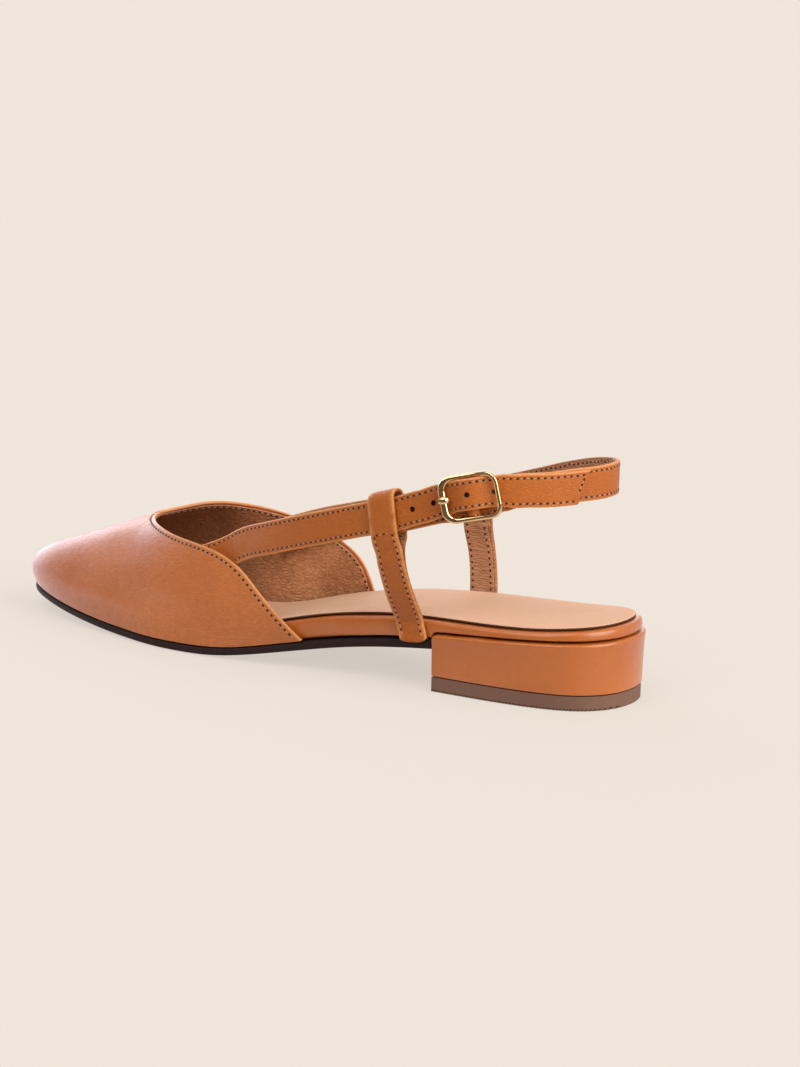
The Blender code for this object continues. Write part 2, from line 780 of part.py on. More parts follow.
def make_punch(name, place, level, radius):
    point, heading, up, outward = LINE.frame(place)
    ring = oval(point + outward * level + up * billet_rise(place), radius * heading, radius * up, 12)
    points, faces = loft([ring - 4 * outward, ring + 4 * outward])
    return add_object(name, points, faces, bpy.data.materials[0])


def make_heel_strap(look):
    """From under the medial topline, through the medial loop and round the heel to the buckle."""
    end = LINE.length - 2
    places = np.concatenate(
        [np.linspace(UNDERLAY_AT, BUCKLE_AT, 6)[:-1], np.linspace(BUCKLE_AT, end, 44)]
    )
    sections = strap_sections(places, lambda s: -LAYER, underlay_drop, STRAP_WIDTH, STRAP_THICKNESS)
    points, faces = loft(sections)
    strap = add_object("heel_strap", points, faces, look)
    near, far = FOLD_ENDS
    for name, low, high in (("fold_low", -far, -near), ("fold_high", near, far)):
        join(strap, make_tube(name, low, high))
    cut(strap, make_prong_slot())
    return strap


def make_prong_slot():
    """The slit in the fold that the prong's ring turns in."""
    centre, heading, up, outward = bar_centre()
    reach = PRONG_RING + 2 * GAP
    height = PRONG_HALF_WIDTH + GAP
    corners = ((reach, height), (-reach, height), (-reach, -height), (reach, -height))
    face = np.array([centre + heading * a + up * u for a, u in corners])
    points, faces = loft([face - 5 * outward, face + 5 * outward])
    return add_object("prong_slot", points, faces, bpy.data.materials[0])


def bar_centre():
    """The middle of the buckle's bar, and the directions along the strap, up it and out of it."""
    point, heading, up, outward = LINE.frame(BUCKLE_AT)
    return point + up * BUCKLE_LIFT + outward * BAR_LEVEL, heading, up, outward


def ring_round_bar(inner, outer, height, count=16):
    """The sections of a ring round the bar: a closed loop of four-cornered sections."""
    centre, heading, up, outward = bar_centre()
    sections = []
    for k in range(count):
        turn = 2 * math.pi * k / count
        out = math.cos(turn) * heading + math.sin(turn) * outward
        corners = [(inner, height[0]), (outer, height[0]), (outer, height[1]), (inner, height[1])]
        sections.append(np.array([centre + out * r + up * h for r, h in corners]))
    return sections


def closed_loop(sections):
    """Points and faces of a ring whose last section meets its first."""
    size, count = len(sections[0]), len(sections)
    faces = []
    for k in range(count):
        after = (k + 1) % count
        for i in range(size):
            j = (i + 1) % size
            faces.append((k * size + i, k * size + j, after * size + j, after * size + i))
    return np.vstack(sections), faces


def make_tube(name, low, high):
    """One side of the heel strap's fold round the bar."""
    points, faces = closed_loop(ring_round_bar(FOLD_INNER, FOLD_OUTER, (low, high)))
    return add_object(name, points, faces, bpy.data.materials[0])


def oval(centre, first, second, count=8):
    """An ellipse's points, from its centre and its two half axes."""
    turns = 2 * math.pi * (np.arange(count) + 0.5)[:, None] / count
    return centre + np.cos(turns) * first + np.sin(turns) * second


def frame_outline(count):
    """A rectangle with round corners, as (along, up) pairs round the middle of the bar."""
    half_length = FRAME_LENGTH / 2 - END_RAIL
    half_height = FRAME_HEIGHT / 2 - RAIL
    corner = FRAME_CORNER
    points = []
    for k, (sign_a, sign_u) in enumerate(((1, 1), (-1, 1), (-1, -1), (1, -1))):
        for step in range(count):
            turn = math.pi / 2 * (k + step / (count - 1))
            points.append(
                (
                    sign_a * (half_length - corner) + corner * math.cos(turn),
                    sign_u * (half_height - corner) + corner * math.sin(turn),
                )
            )
    return points


def frame_level(offset):
    """How far outside the bar the frame lies: furthest at its two ends, which pass over the strap."""
    over_strap = LAYER + STRAP_THICKNESS / 2 + 2 * GAP + RAIL
    ends = over_strap - BAR_LEVEL
    return 1.0 + (ends - 1.0) * (abs(offset) / (FRAME_LENGTH / 2 - END_RAIL)) ** 2


def make_buckle_frame(look):
    centre, heading, up, outward = bar_centre()
    outline_points = frame_outline(6)
    count = len(outline_points)
    sections = []
    for k, (a, u) in enumerate(outline_points):
        before, after = outline_points[k - 1], outline_points[(k + 1) % count]
        ahead = unit([after[0] - before[0], after[1] - before[1]])
        side = heading * ahead[1] - up * ahead[0]
        half_width = RAIL + (END_RAIL - RAIL) * ahead[1] ** 2
        middle = centre + heading * a + up * u + outward * frame_level(a)
        sections.append(oval(middle, half_width * side, RAIL * outward))
    points, faces = closed_loop(sections)
    frame = add_object("buckle_frame", points, faces, look)
    reach = up * (FRAME_HEIGHT / 2 - RAIL)
    ends = (oval(centre + end, BAR_RADIUS * heading, BAR_RADIUS * outward, 12) for end in (-reach, reach))
    points, faces = loft(list(ends))
    join(frame, add_object("bar", points, faces, look))
    return frame


def make_buckle_prong(look):
    """A ring on the bar with a shank that comes out through the strap and rests on the frame."""
    centre, heading, up, outward = bar_centre()
    width = (-PRONG_HALF_WIDTH, PRONG_HALF_WIDTH)
    points, faces = closed_loop(ring_round_bar(FOLD_INNER, PRONG_RING, width))
    prong = add_object("buckle_prong", points, faces, look)
    end_rail = FRAME_LENGTH / 2 - END_RAIL
    rest = frame_level(end_rail) + RAIL + GAP + PRONG_HALF_THICKNESS
    path = [(-1.4, -0.4), (-2.6, -0.4), (-3.8, -0.35), (-4.9, -0.1), (PRONG_HOLE + 0.1, 0.75)]
    path += [(PRONG_HOLE - 0.5, 2.0), (PRONG_HOLE - 1.1, 3.2)]
    path += [(1.4 - end_rail, rest - 0.2), (-end_rail, rest), (-FRAME_LENGTH / 2 - 0.4, rest - 0.1)]
    sections = []
    for k, (a, level) in enumerate(path):
        before, after = path[max(k - 1, 0)], path[min(k + 1, len(path) - 1)]
        ahead = unit([after[0] - before[0], after[1] - before[1]])
        side = outward * ahead[0] - heading * ahead[1]
        middle = centre + heading * a + outward * level
        sections.append(oval(middle, PRONG_HALF_WIDTH * up, PRONG_HALF_THICKNESS * side))
    points, faces = loft(sections)
    join(prong, add_object("shank", points, faces, look))
    return prong


def loop_path(side):
    """The side strap's way round what it carries: up outside it, over its top edge, and down inside it
    to the folded end. Gives the middle points and the heading of the strap that is carried."""
    half = STRAP_WIDTH / 2
    around = STRAP_THICKNESS / 2 + GAP + SIDE_STRAP_THICKNESS / 2
    outer = (LAYER if side == "lateral" else -LAYER) + around
    inner = -LAYER - around
    low = -half - (UNDERLAY["drop"][0] if side == "lateral" else 0.0)
    middle = (outer + inner) / 2
    reach = (outer - inner) / 2
    together = (SIDE_STRAP_THICKNESS + GAP) / 2
    path = [(middle + together, low - LOOP_CLOSE - 3.0), (middle + together, low - LOOP_CLOSE)]
    path += [(middle + 0.6 * reach + 0.4 * together, low - 2.4)]
    path += [(outer, low - 0.2), (outer, 0.0), (outer, half - 1.6)]
    for turn in np.linspace(0, math.pi, 8):
        path.append((middle + reach * math.cos(turn), half - 0.3 + LOOP_RISE * math.sin(turn)))
    path += [(inner, half - 1.6), (inner, 0.0), (inner, low - 0.2)]
    path += [(middle - 0.6 * reach - 0.4 * together, low - 2.4)]
    path += [(middle - together, low - LOOP_CLOSE), (middle - together, low - LOOP_END)]
    point, heading, up, outward = LINE.frame(LINE.at(side, SIDE_STRAP_LOOP[side]))
    lean = unit(up + [0.0, 0.0, 1.0])
    return [point + outward * a + lean * u for a, u in path], heading


def make_side_strap(side, look):
    """Rises from the edge of the sole, folds round the strap above it and is sewn to itself."""
    loop, heading = loop_path(side)
    foot_at = SIDE_STRAP_FOOT[side]
    inset = midsole_inset(foot_at) - SIDE_STRAP_STAND_OFF - SIDE_STRAP_THICKNESS / 2
    foot_t, foot_y = outline(side, foot_at, inset)
    low = outsole_top(foot_at) + 1.5 * GAP
    high = float(midsole_top(foot_at)) - MIDSOLE_EDGE
    heights = np.linspace(low, high, len(FOOT_SLANT))
    foot = [np.array([foot_t - back, foot_y, z]) for z, back in zip(heights, FOOT_SLANT)]
    start = foot[-1] + np.array([0.0, 0.3 * SIDES[side], 1.2])
    rise = []
    for share in np.linspace(0, 1, 6)[:-1]:
        bulge = SIDE_STRAP_BULGE * SIDES[side] * math.sin(math.pi * share)
        rise.append(start + (loop[0] - start) * share + np.array([0.0, bulge, 0.0]))
    path = foot + rise + loop
    across = unit([-1.0, 0.0, float(midsole_top(foot_at - 5) - midsole_top(foot_at + 5)) / 10])
    if side == "medial":
        heading = -heading
    sections = []
    corners = rounded_section(SIDE_STRAP_WIDTH, SIDE_STRAP_THICKNESS, 0.35)
    joint = len(foot) + len(rise)
    for k, middle in enumerate(path):
        ahead = unit(path[min(k + 1, len(path) - 1)] - path[max(k - 1, 0)])
        share = smooth_step((k - len(foot) + 1) / (joint - len(foot)))
        wide = unit(across * (1 - share) + heading * share)
        outward = unit(np.cross(ahead, wide))
        sections.append(np.array([middle + wide * a + outward * o for a, o in corners]))
    points, faces = loft(sections)
    return add_object("side_strap_" + side, points, faces, look)


def build():
    for old in list(bpy.data.objects):
        bpy.data.objects.remove(old, do_unlink=True)
    leather = material("tan_leather", (0.45, 0.17, 0.06), 0.42)
    sock = material("insole_leather", (0.66, 0.41, 0.29), 0.5)
    edge = material("outsole_leather", (0.03, 0.016, 0.01), 0.5)
    rubber = material("heel_rubber", (0.16, 0.11, 0.08), 0.75)
    brass = material("buckle_brass", (0.85, 0.66, 0.36), 0.2, 1.0)
    make_outsole(edge)
    make_midsole(leather)
    make_insole(sock)
    make_heel_block(leather)
    make_top_piece(rubber)
    make_upper(leather)
    make_billet(leather)
    make_heel_strap(leather)
    make_side_strap("lateral", leather)
    make_side_strap("medial", leather)
    make_buckle_frame(brass)
    make_buckle_prong(brass)


build()
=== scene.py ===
import json
import math

import bmesh
import bpy
from bpy.props import FloatProperty, FloatVectorProperty, PointerProperty
from mathutils import Matrix, Vector
from mathutils.bvhtree import BVHTree
from mathutils.kdtree import KDTree

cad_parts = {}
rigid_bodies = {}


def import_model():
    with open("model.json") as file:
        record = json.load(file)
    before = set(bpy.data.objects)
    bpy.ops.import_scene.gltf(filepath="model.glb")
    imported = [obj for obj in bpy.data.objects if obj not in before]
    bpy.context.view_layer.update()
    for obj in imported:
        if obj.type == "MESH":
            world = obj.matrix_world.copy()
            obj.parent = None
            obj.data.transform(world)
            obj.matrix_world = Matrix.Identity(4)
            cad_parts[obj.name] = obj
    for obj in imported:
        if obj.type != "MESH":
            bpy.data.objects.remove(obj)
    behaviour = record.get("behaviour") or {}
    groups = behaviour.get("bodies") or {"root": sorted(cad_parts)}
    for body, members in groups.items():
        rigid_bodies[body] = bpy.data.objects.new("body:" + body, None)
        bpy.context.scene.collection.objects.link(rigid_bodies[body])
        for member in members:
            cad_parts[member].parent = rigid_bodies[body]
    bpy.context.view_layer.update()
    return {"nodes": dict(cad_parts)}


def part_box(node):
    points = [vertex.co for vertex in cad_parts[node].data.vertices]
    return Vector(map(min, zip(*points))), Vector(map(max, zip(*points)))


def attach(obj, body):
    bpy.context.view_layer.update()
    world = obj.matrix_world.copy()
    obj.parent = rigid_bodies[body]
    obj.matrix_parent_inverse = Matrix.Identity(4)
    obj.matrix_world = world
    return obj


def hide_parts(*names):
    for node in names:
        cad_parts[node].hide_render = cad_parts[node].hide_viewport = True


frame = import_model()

bl_info = {
    "name": "Slingback ballet flat",
    "version": (1, 0, 0),
    "blender": (4, 5, 0),
    "location": "3D View > Sidebar > Slingback",
    "description": (
        "Dresses the solids of a slingback ballet flat in leather, lining, thread and brass"
    ),
    "category": "Add Mesh",
}

MM = 0.001
BODY = "root"

# The line that both straps follow, from under the buckle side's topline, round the heel, to under
# the other topline: places in millimetres and the strap's lean in degrees.
STRAP_LINE = (
    (-39.0, -17.3, 29.6, -16), (-31.0, -17.7, 33.1, -15), (-23.0, -17.7, 36.7, -13),
    (-13.0, -20.4, 42.1, -8), (-1.0, -24.4, 46.4, -4), (12.0, -27.5, 50.7, -1),
    (27.0, -30.1, 55.4, 0), (41.0, -32.0, 59.7, 0), (55.0, -33.1, 64.1, 0),
    (69.0, -32.4, 68.5, 0), (79.5, -30.6, 71.6, 0), (89.5, -27.8, 73.7, 0),
    (99.0, -22.8, 75.0, 0), (107.5, -14.8, 75.6, 0), (113.8, -5.2, 76.1, 0),
    (116.4, 4.8, 76.5, 0), (112.8, 15.2, 75.9, 0), (103.0, 23.4, 74.1, 0),
    (89.0, 29.6, 70.3, 0), (73.0, 33.8, 65.0, 0), (57.0, 35.8, 59.9, 0),
    (39.0, 36.4, 54.5, 0), (21.0, 35.8, 49.6, 0), (3.0, 34.5, 44.9, 0),
    (-11.0, 32.8, 41.1, 0), (-23.0, 32.6, 37.1, -10), (-31.0, 33.4, 33.8, -11),
    (-39.0, 33.7, 30.6, -11),
)
# Distances along that line, in millimetres.
BILLET_START, BILLET_TIP = 2.0, 167.7
HEEL_STRAP_START, HEEL_STRAP_END = 94.7, 355.4
BUCKLE_AT = 129.45

# The straps across, in millimetres: half the width, half the thickness and the rows of points.
HALF_WIDTH = 5.75
HALF_THICKNESS = 0.9
STRAP_ROWS = (-5.75, -5.3, -4.75, -4.3, -3.85, -2.8, -1.0, 1.0, 2.8, 3.85, 4.3, 4.75, 5.3, 5.75)
ROW_AT = 4.3  # the two long rows of stitches
ROW_SINK, EDGE_ROLL = 0.13, 0.16  # how deep those rows and the strap's edges lie in its face
# Where the faces of a strap's leather and of its lining lie, outside its middle.
LEATHER_FACES = (HALF_THICKNESS, -0.25)
LINING_FACES = (-0.3, -HALF_THICKNESS)
LINING_WIDTH = 0.985  # as a share of the leather's
EDGE_WEAR_AND_HIGHLIGHT_FROM, EDGE_WEAR_AND_HIGHLIGHT_TO = 4.9, 5.7  # where across a strap its leather grows lighter: partly rubbed, partly a painted highlight
TIP_SLANT = 5.0  # how much farther the free end's tip reaches at its upper edge than at its lower
TIP_INSET = 1.7  # from the tip to the row of stitches across it

LAYER = 1.05  # how far each of the two straps lies off the line
OVER_BAR = 4.5  # how far out the free end lies where it crosses the buckle's bar
HUMP_REACH = 8.6  # over which it comes back down to each side
HUMP_TOP = 1.12  # what is over 1 is its flat top, as a share of that reach
DRAWN_IN = 0.07  # the share of its width that the free end loses inside the buckle's frame
BAR_OUT, BAR_LIFT = 1.2, 0.35  # the bar's place outside the line and above it
BAR_FOLDS = ((-6.3, -2.0), (2.0, 5.2))  # the folds round the bar, below and above the prong
# How far the heel strap hangs below the line, by distance past the buckle's bar.
UNDERLAY_DROP = (
    (-40.0, 1.2), (-14.0, 1.1), (-6.0, 2.0), (4.0, 2.1), (11.0, 0.6), (16.0, -0.3), (26.0, 0.0),
    (35.0, -0.4), (52.0, 0.0),
)
# How far the free end does: near the bar it comes up to the buckle's upper rail.
BILLET_DROP = (
    (-46.0, 0.0), (-30.0, 0.4), (-18.0, -0.2), (-10.0, -1.0), (-3.0, -1.7), (4.0, -1.7),
    (10.0, -1.1), (16.0, -0.5), (26.0, 0.0),
)
PRONG_HOLE = -7.0
HOLES = (-21.2, -13.1, PRONG_HOLE, 0.0, 8.3)  # from the bar
# How deep a hole's cutter is and where its middle lies inside the strap's middle: in the leather
# and in the lining, and for the prong, whose hole is also cut lower. The other cutters stop inside
# the layer, so those holes keep near-black floors: painted shade.
HOLE_DEPTH, LEATHER_HOLE, LINING_HOLE = 1.6, -0.9, 1.3
PRONG_HOLE_DEPTH, PRONG_HOLE_LOWER = 8.0, 0.5

LINING_IN = 2.0  # how far inside a side strap's face its lining lies
FOLDED_IN = 3.1  # and how far where the folded end lies between them
PRESSED_FROM = 1.85  # how far inside that face the folded end is pressed from
PRESSED = 0.55  # the share of what lies farther in that is pressed away
FOLD_TOP = (3.0, 8.0)  # between which heights over the folded end's edge the pressing ends

# Soft troughs and, where the depth is below nought, ridges of the vamp: two ends in millimetres,
# half width and depth.
VAMP_CREASES = (
    ((-99.0, -8.5, 20.5), (-80.0, -15.0, 15.5), 10.0, 0.50),
    ((-92.0, -12.0, 13.5), (-58.0, -21.0, 10.0), 7.0, -0.40),
    ((-80.0, -9.0, 27.0), (-52.0, -19.0, 22.5), 8.0, -0.45),
    ((-66.0, -18.0, 17.5), (-38.0, -24.0, 14.5), 8.0, 0.50),
    ((-34.0, -22.5, 33.0), (-27.0, -25.0, 20.0), 6.0, 0.35),
    ((-74.0, 34.0, 26.0), (-58.0, 33.0, 34.0), 6.0, 0.30),
    ((-92.0, 22.0, 24.0), (-70.0, 31.0, 20.0), 8.0, -0.40),
)

# The buckle in millimetres.
OUTER_CORNER, INNER_CORNER = 4.6, 3.1
RAIL_DEPTH = 1.7
FRAME_OUT = 1.0  # how far outside the bar the frame lies beside it
FRAME_CURVE, FRAME_ALONG = 1.35, 9.4  # how much farther it lies this far along the strap
BAR_RADIUS = 0.9
BAR_SHORTER = 2.4  # than the frame is high
# The prong: its path towards the toe and outwards, its height, its section outwards and across,
# and its point's share of that section.
PRONG_PATH = (
    (-1.2, 0.2), (-2.6, 0.0), (-4.2, 0.1), (-5.5, 0.5), (-6.6, 1.8), (-7.2, 3.1), (-7.9, 3.8),
    (-8.9, 4.05), (-10.2, 4.0),
)
PRONG_LIFT = 0.45
PRONG_SECTION = (
    (-0.30, -1.0), (0.15, -1.0), (0.50, -0.82), (0.62, -0.5), (0.42, -0.2), (0.22, 0.0),
    (0.42, 0.2), (0.62, 0.5), (0.50, 0.82), (0.15, 1.0), (-0.30, 1.0), (-0.56, 0.7), (-0.56, -0.7),
)
PRONG_POINT = 0.8

BACKDROP_LEAN = 0.6  # how much brighter the room is behind the shoe than before it
# The point straight before the camera, and the shift of its lens.
CAMERA_AIM = (0.001, 0.0048, 0.03)
CAMERA_SHIFT = (0.0768, 0.0339)


# ---------------------------------------------------------------- edit tools


def only(obj):
    """Makes one object the selected and active one."""
    if bpy.context.object and bpy.context.object.mode != "OBJECT":
        bpy.ops.object.mode_set(mode="OBJECT")
    bpy.ops.object.select_all(action="DESELECT")
    obj.select_set(True)
    bpy.context.view_layer.objects.active = obj


def edit(obj, *steps):
    """Runs edit-mode steps, the first of them on the whole mesh."""
    only(obj)
    bpy.ops.object.mode_set(mode="EDIT")
    bpy.ops.mesh.select_mode(type="FACE")
    bpy.ops.mesh.select_all(action="SELECT")
    for step in steps:
        step()
    bpy.ops.object.mode_set(mode="OBJECT")


def face_outwards():
    """An edit-mode step: turns every face's front outwards."""
    bpy.ops.mesh.normals_make_consistent(inside=False)


def finish_with(obj, kind, **settings):
    """Adds a modifier with these settings and applies it."""
    only(obj)
    modifier = obj.modifiers.new(kind, kind)
    for key, value in settings.items():
        setattr(modifier, key, value)
    bpy.ops.object.modifier_apply(modifier=modifier.name)


def subdivide(obj, levels):
    finish_with(obj, "SUBSURF", levels=levels, render_levels=levels)


def round_edges(obj, width, segments=2):
    finish_with(
        obj, "BEVEL", width=width * MM, segments=segments, limit_method="ANGLE",
        angle_limit=math.radians(55), use_clamp_overlap=True,
    )


def smooth(obj, angle):
    only(obj)
    bpy.ops.object.shade_smooth_by_angle(angle=math.radians(angle))


def add(primitive, **settings):
    """Adds one of Blender's own shapes and gives it back."""
    bpy.ops.object.select_all(action="DESELECT")
    primitive(**settings)
    return bpy.context.object


def new_object(name, data):
    made = bpy.data.objects.new(name, data)
    bpy.context.collection.objects.link(made)
    return made


def new_mesh(name, points, faces):
    mesh = bpy.data.meshes.new(name)
    mesh.from_pydata(points, [], faces)
    return new_object(name, mesh)


def new_curve(name, places, resolution):
    """A curve through these places, with automatic handles."""
    data = bpy.data.curves.new(name, "CURVE")
    data.dimensions = "3D"
    data.twist_mode = "Z_UP"
    data.resolution_u = resolution
    spline = data.splines.new("BEZIER")
    spline.bezier_points.add(len(places) - 1)
    for point, place in zip(spline.bezier_points, places):
        point.co = place
    line = new_object(name, data)
    only(line)
    bpy.ops.object.mode_set(mode="EDIT")
    bpy.ops.curve.select_all(action="SELECT")
    bpy.ops.curve.handle_type_set(type="AUTOMATIC")
    bpy.ops.object.mode_set(mode="OBJECT")
    return line


def copy_mesh(obj, name):
    made = new_object(name, obj.data.copy())
    made.data.name = name
    return made


def copy_node(node_name, name):
    """A copy of a CAD node's mesh, its loose triangles merged into four-sided faces."""
    made = copy_mesh(frame["nodes"][node_name], name)
    made.data.materials.clear()
    edit(
        made,
        lambda: bpy.ops.mesh.customdata_custom_splitnormals_clear(),
        lambda: bpy.ops.mesh.remove_doubles(threshold=0.01 * MM),
        lambda: bpy.ops.mesh.tris_convert_to_quads(
            face_threshold=math.radians(60), shape_threshold=math.pi, topology_influence=100
        ),
    )
    return made


def discard(obj):
    data = obj.data
    bpy.data.objects.remove(obj, do_unlink=True)
    if isinstance(data, bpy.types.Mesh):
        bpy.data.meshes.remove(data)


def join(obj, *others):
    only(obj)
    for other in others:
        other.select_set(True)
    bpy.ops.object.join()


def cut(piece, cutter):
    """Cuts one piece out of another; the new faces take the cutter's finish."""
    finish_with(
        piece, "BOOLEAN", operation="DIFFERENCE", object=cutter, solver="EXACT",
        material_mode="TRANSFER",
    )
    discard(cutter)


def paint(obj, *names):
    """Gives a piece its finishes, which are all made on first use."""
    if "tan_calf" not in bpy.data.materials:
        make_materials()
    for name in names:
        obj.data.materials.append(bpy.data.materials[name])


def dress(obj, slot, *nodes):
    """Gives a piece its body and hides the CAD nodes that it stands for, if it does; the slot is
    not used.
    """
    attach(obj, BODY)
    if nodes:
        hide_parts(*nodes)


def select_region(obj, place, sharpness):
    """Selects the smooth region, bounded by sharp edges, that holds the face nearest to a place."""
    only(obj)
    bpy.ops.object.mode_set(mode="EDIT")
    bpy.ops.mesh.select_mode(type="EDGE")
    bpy.ops.mesh.select_all(action="DESELECT")
    bpy.ops.mesh.edges_select_sharp(sharpness=math.radians(sharpness))
    bpy.ops.mesh.mark_sharp()
    bpy.ops.mesh.select_all(action="DESELECT")
    bpy.ops.mesh.select_mode(type="FACE")
    bpy.ops.object.mode_set(mode="OBJECT")
    nearest = min(obj.data.polygons, key=lambda face: (face.center - place).length)
    nearest.select = True
    bpy.ops.object.mode_set(mode="EDIT")
    bpy.ops.mesh.select_linked(delimit={"SHARP"})


def tree_of(obj):
    shape = bmesh.new()
    shape.from_mesh(obj.data)
    found = BVHTree.FromBMesh(shape)
    shape.free()
    return found


def points_tree(points):
    tree = KDTree(len(points))
    for index, point in enumerate(points):
        tree.insert(point, index)
    tree.balance()
    return tree


def press(obj, line, width, depth, facing=None):
    """Sinks a soft trough along a chain of points; a negative depth raises a ridge."""
    tree = points_tree(line)
    normals = [vert.normal.copy() for vert in obj.data.vertices]
    for vert, normal in zip(obj.data.vertices, normals):
        _, index, distance = tree.find(vert.co)
        if distance > width * MM or (facing and normal.dot(facing[index]) < 0.3):
            continue
        fade = 1.0 if facing else math.sin(math.pi * (index + 0.5) / len(line)) ** 0.7
        fall = (1 + math.cos(math.pi * distance / (width * MM))) / 2
        vert.co -= normal * (depth * MM * fall * fade)
    obj.data.update()


def between(start, end, count=24):
    start, end = Vector(start) * MM, Vector(end) * MM
    return [start.lerp(end, k / (count - 1)) for k in range(count)]


def mark_edge(obj, rubbed_and_highlit):
    """Stores for each vertex how near it is to an edge that the finishes paint lighter, partly as
    rubbing and partly as a painted highlight.
    """
    layer = obj.data.attributes.new("edge", "FLOAT", "POINT")
    for entry, vert in zip(layer.data, obj.data.vertices):
        entry.value = rubbed_and_highlit(vert)


def ramp(value, low, high):
    share = min(max((value - low) / (high - low), 0.0), 1.0)
    return share * share * (3 - 2 * share)


# ---------------------------------------------------------------- stitching


def spaced(points, pitch, lead):
    """Places at an even pitch along a chain of points, with the direction at each."""
    lengths = [0.0]
    for a, b in zip(points, points[1:]):
        lengths.append(lengths[-1] + (b - a).length)
    usable = lengths[-1] - 2 * lead
    count = max(1, round(usable / pitch))
    places, k = [], 0
    for step in range(count):
        wanted = lead + usable * (step + 0.5) / count
        while lengths[k + 1] < wanted:
            k += 1
        span = points[k + 1] - points[k]
        share = (wanted - lengths[k]) / (lengths[k + 1] - lengths[k])
        places.append((points[k] + span * share, span.normalized()))
    return places


def master_shape(radii, segments, rings):
    """One small rounded shape, its radii in millimetres: its points and faces."""
    ball = add(bpy.ops.mesh.primitive_uv_sphere_add, segments=segments, ring_count=rings, radius=MM)
    edit(ball, lambda: bpy.ops.transform.resize(value=radii))
    points = [vert.co.copy() for vert in ball.data.vertices]
    faces = [tuple(face.vertices) for face in ball.data.polygons]
    discard(ball)
    return points, faces


def sew(name, seams):
    """Rows of stitches as one piece. A seam is a list of (place, direction, normal)."""
    settings = bpy.context.scene.slingback_stitching
    long, slant = settings.length / 2, math.radians(settings.slant)
    # The thread and, after it, a near-black spot for its needle hole, painted shade: shape, shift
    # along the seam, lift, turn and finish.
    parts = (
        (master_shape((long / MM, 0.2, 0.16), 8, 5), 0.0, 0.02, slant, 0),
        (master_shape((0.5, 0.4, 0.12), 8, 4), settings.pitch / 2, 0.03, 2 * slant, 1),
    )
    points, faces, slots = [], [], []
    for place, ahead, normal in (stitch for seam in seams for stitch in seam):
        side = normal.cross(ahead).normalized()
        ahead = side.cross(normal)
        axes = Matrix((ahead, side, normal)).transposed()
        for (shape, shape_faces), shift, lift, turn, index in parts:
            first = len(points)
            spin = axes @ Matrix.Rotation(turn, 3, "Z")
            centre = place + ahead * shift + normal * (lift * MM)
            points += [centre + spin @ point for point in shape]
            faces += [tuple(first + k for k in face) for face in shape_faces]
            slots += [index] * len(shape_faces)
    made = new_mesh(name, points, faces)
    for face, index in zip(made.data.polygons, slots):
        face.material_index = index
    made.data.shade_smooth()
    paint(made, "waxed_thread", "painted_shade_hole")
    dress(made, "tan_leather")


def seam_on(tree, points, lead):
    """Stitches along a chain of points, laid on the surface under them."""
    pitch = bpy.context.scene.slingback_stitching.pitch
    seam = []
    for place, ahead in spaced(points, pitch, lead * MM):
        found, normal, _, _ = tree.find_nearest(place)
        seam.append((found, ahead, normal))
    return seam


def seam_behind(tree, seam, depth):
    """The same stitches on the inner side: where a line from inside first meets the surface."""
    behind = []
    for place, ahead, normal in seam:
        found, other, _, _ = tree.ray_cast(place - normal * (depth * MM), normal, depth * MM)
        if found is not None:
            behind.append((found, ahead, other if other.dot(normal) < 0 else -other))
    return behind


def sew_through(name, tree, rows, lead, depth):
    """Sews rows of places on a surface, and the same stitches on its inner side."""
    seams = []
    for row in rows:
        seam = seam_on(tree, row, lead)
        seams += [seam, seam_behind(tree, seam, depth)]
    sew(name, seams)


# ---------------------------------------------------------------- materials


def node(tree, kind, links=None, **settings):
    """A node with its settings; a link's value is another node's socket or a number or colour."""
    made = tree.nodes.new(kind)
    for key, value in settings.items():
        setattr(made, key, value)
    for key, value in (links or {}).items():
        if isinstance(value, bpy.types.NodeSocket):
            tree.links.new(value, made.inputs[key])
        else:
            made.inputs[key].default_value = value
    return made


def maths(tree, operation, a, b=0.0, clamp=False):
    links = {0: a, 1: b}
    return node(tree, "ShaderNodeMath", links, operation=operation, use_clamp=clamp).outputs[0]


def times(tree, a, b, clamp=False):
    return maths(tree, "MULTIPLY", a, b, clamp)


def stretch(tree, value, low, high, to_low=0.0, to_high=1.0):
    links = {"Value": value, "From Min": low, "From Max": high, "To Min": to_low, "To Max": to_high}
    return node(tree, "ShaderNodeMapRange", links).outputs["Result"]


def blend(tree, amount, a, b):
    return node(tree, "ShaderNodeMix", {0: amount, 6: a, 7: b}, data_type="RGBA").outputs[2]


def noise(tree, vector, scale, **more):
    links = {"Vector": vector, "Scale": scale, **more}
    return node(tree, "ShaderNodeTexNoise", links).outputs["Fac"]


def axes_of(tree, vector):
    return node(tree, "ShaderNodeSeparateXYZ", {"Vector": vector}).outputs


def bump(tree, height, strength, distance):
    links = {"Height": height, "Strength": strength, "Distance": distance * MM}
    return node(tree, "ShaderNodeBump", links).outputs["Normal"]


def lead(tree, inputs, **sockets):
    """Links sockets to a node's inputs; a label's blanks are written as underscores."""
    for key, socket in sockets.items():
        tree.links.new(socket, inputs[key.replace("_", " ")])


def new_group(name, inputs, *outputs):
    """An empty node group that takes a Vector, if its inputs say so, and numbers."""
    group = bpy.data.node_groups.new(name, "ShaderNodeTree")
    for label, value in inputs.items():
        kind = "NodeSocketVector" if value is None else "NodeSocketFloat"
        socket = group.interface.new_socket(label, in_out="INPUT", socket_type=kind)
        if value is not None:
            socket.default_value = value
    for label in outputs:
        group.interface.new_socket(label, in_out="OUTPUT", socket_type="NodeSocketFloat")
    given = group.nodes.new("NodeGroupInput").outputs
    return group, given, group.nodes.new("NodeGroupOutput").inputs


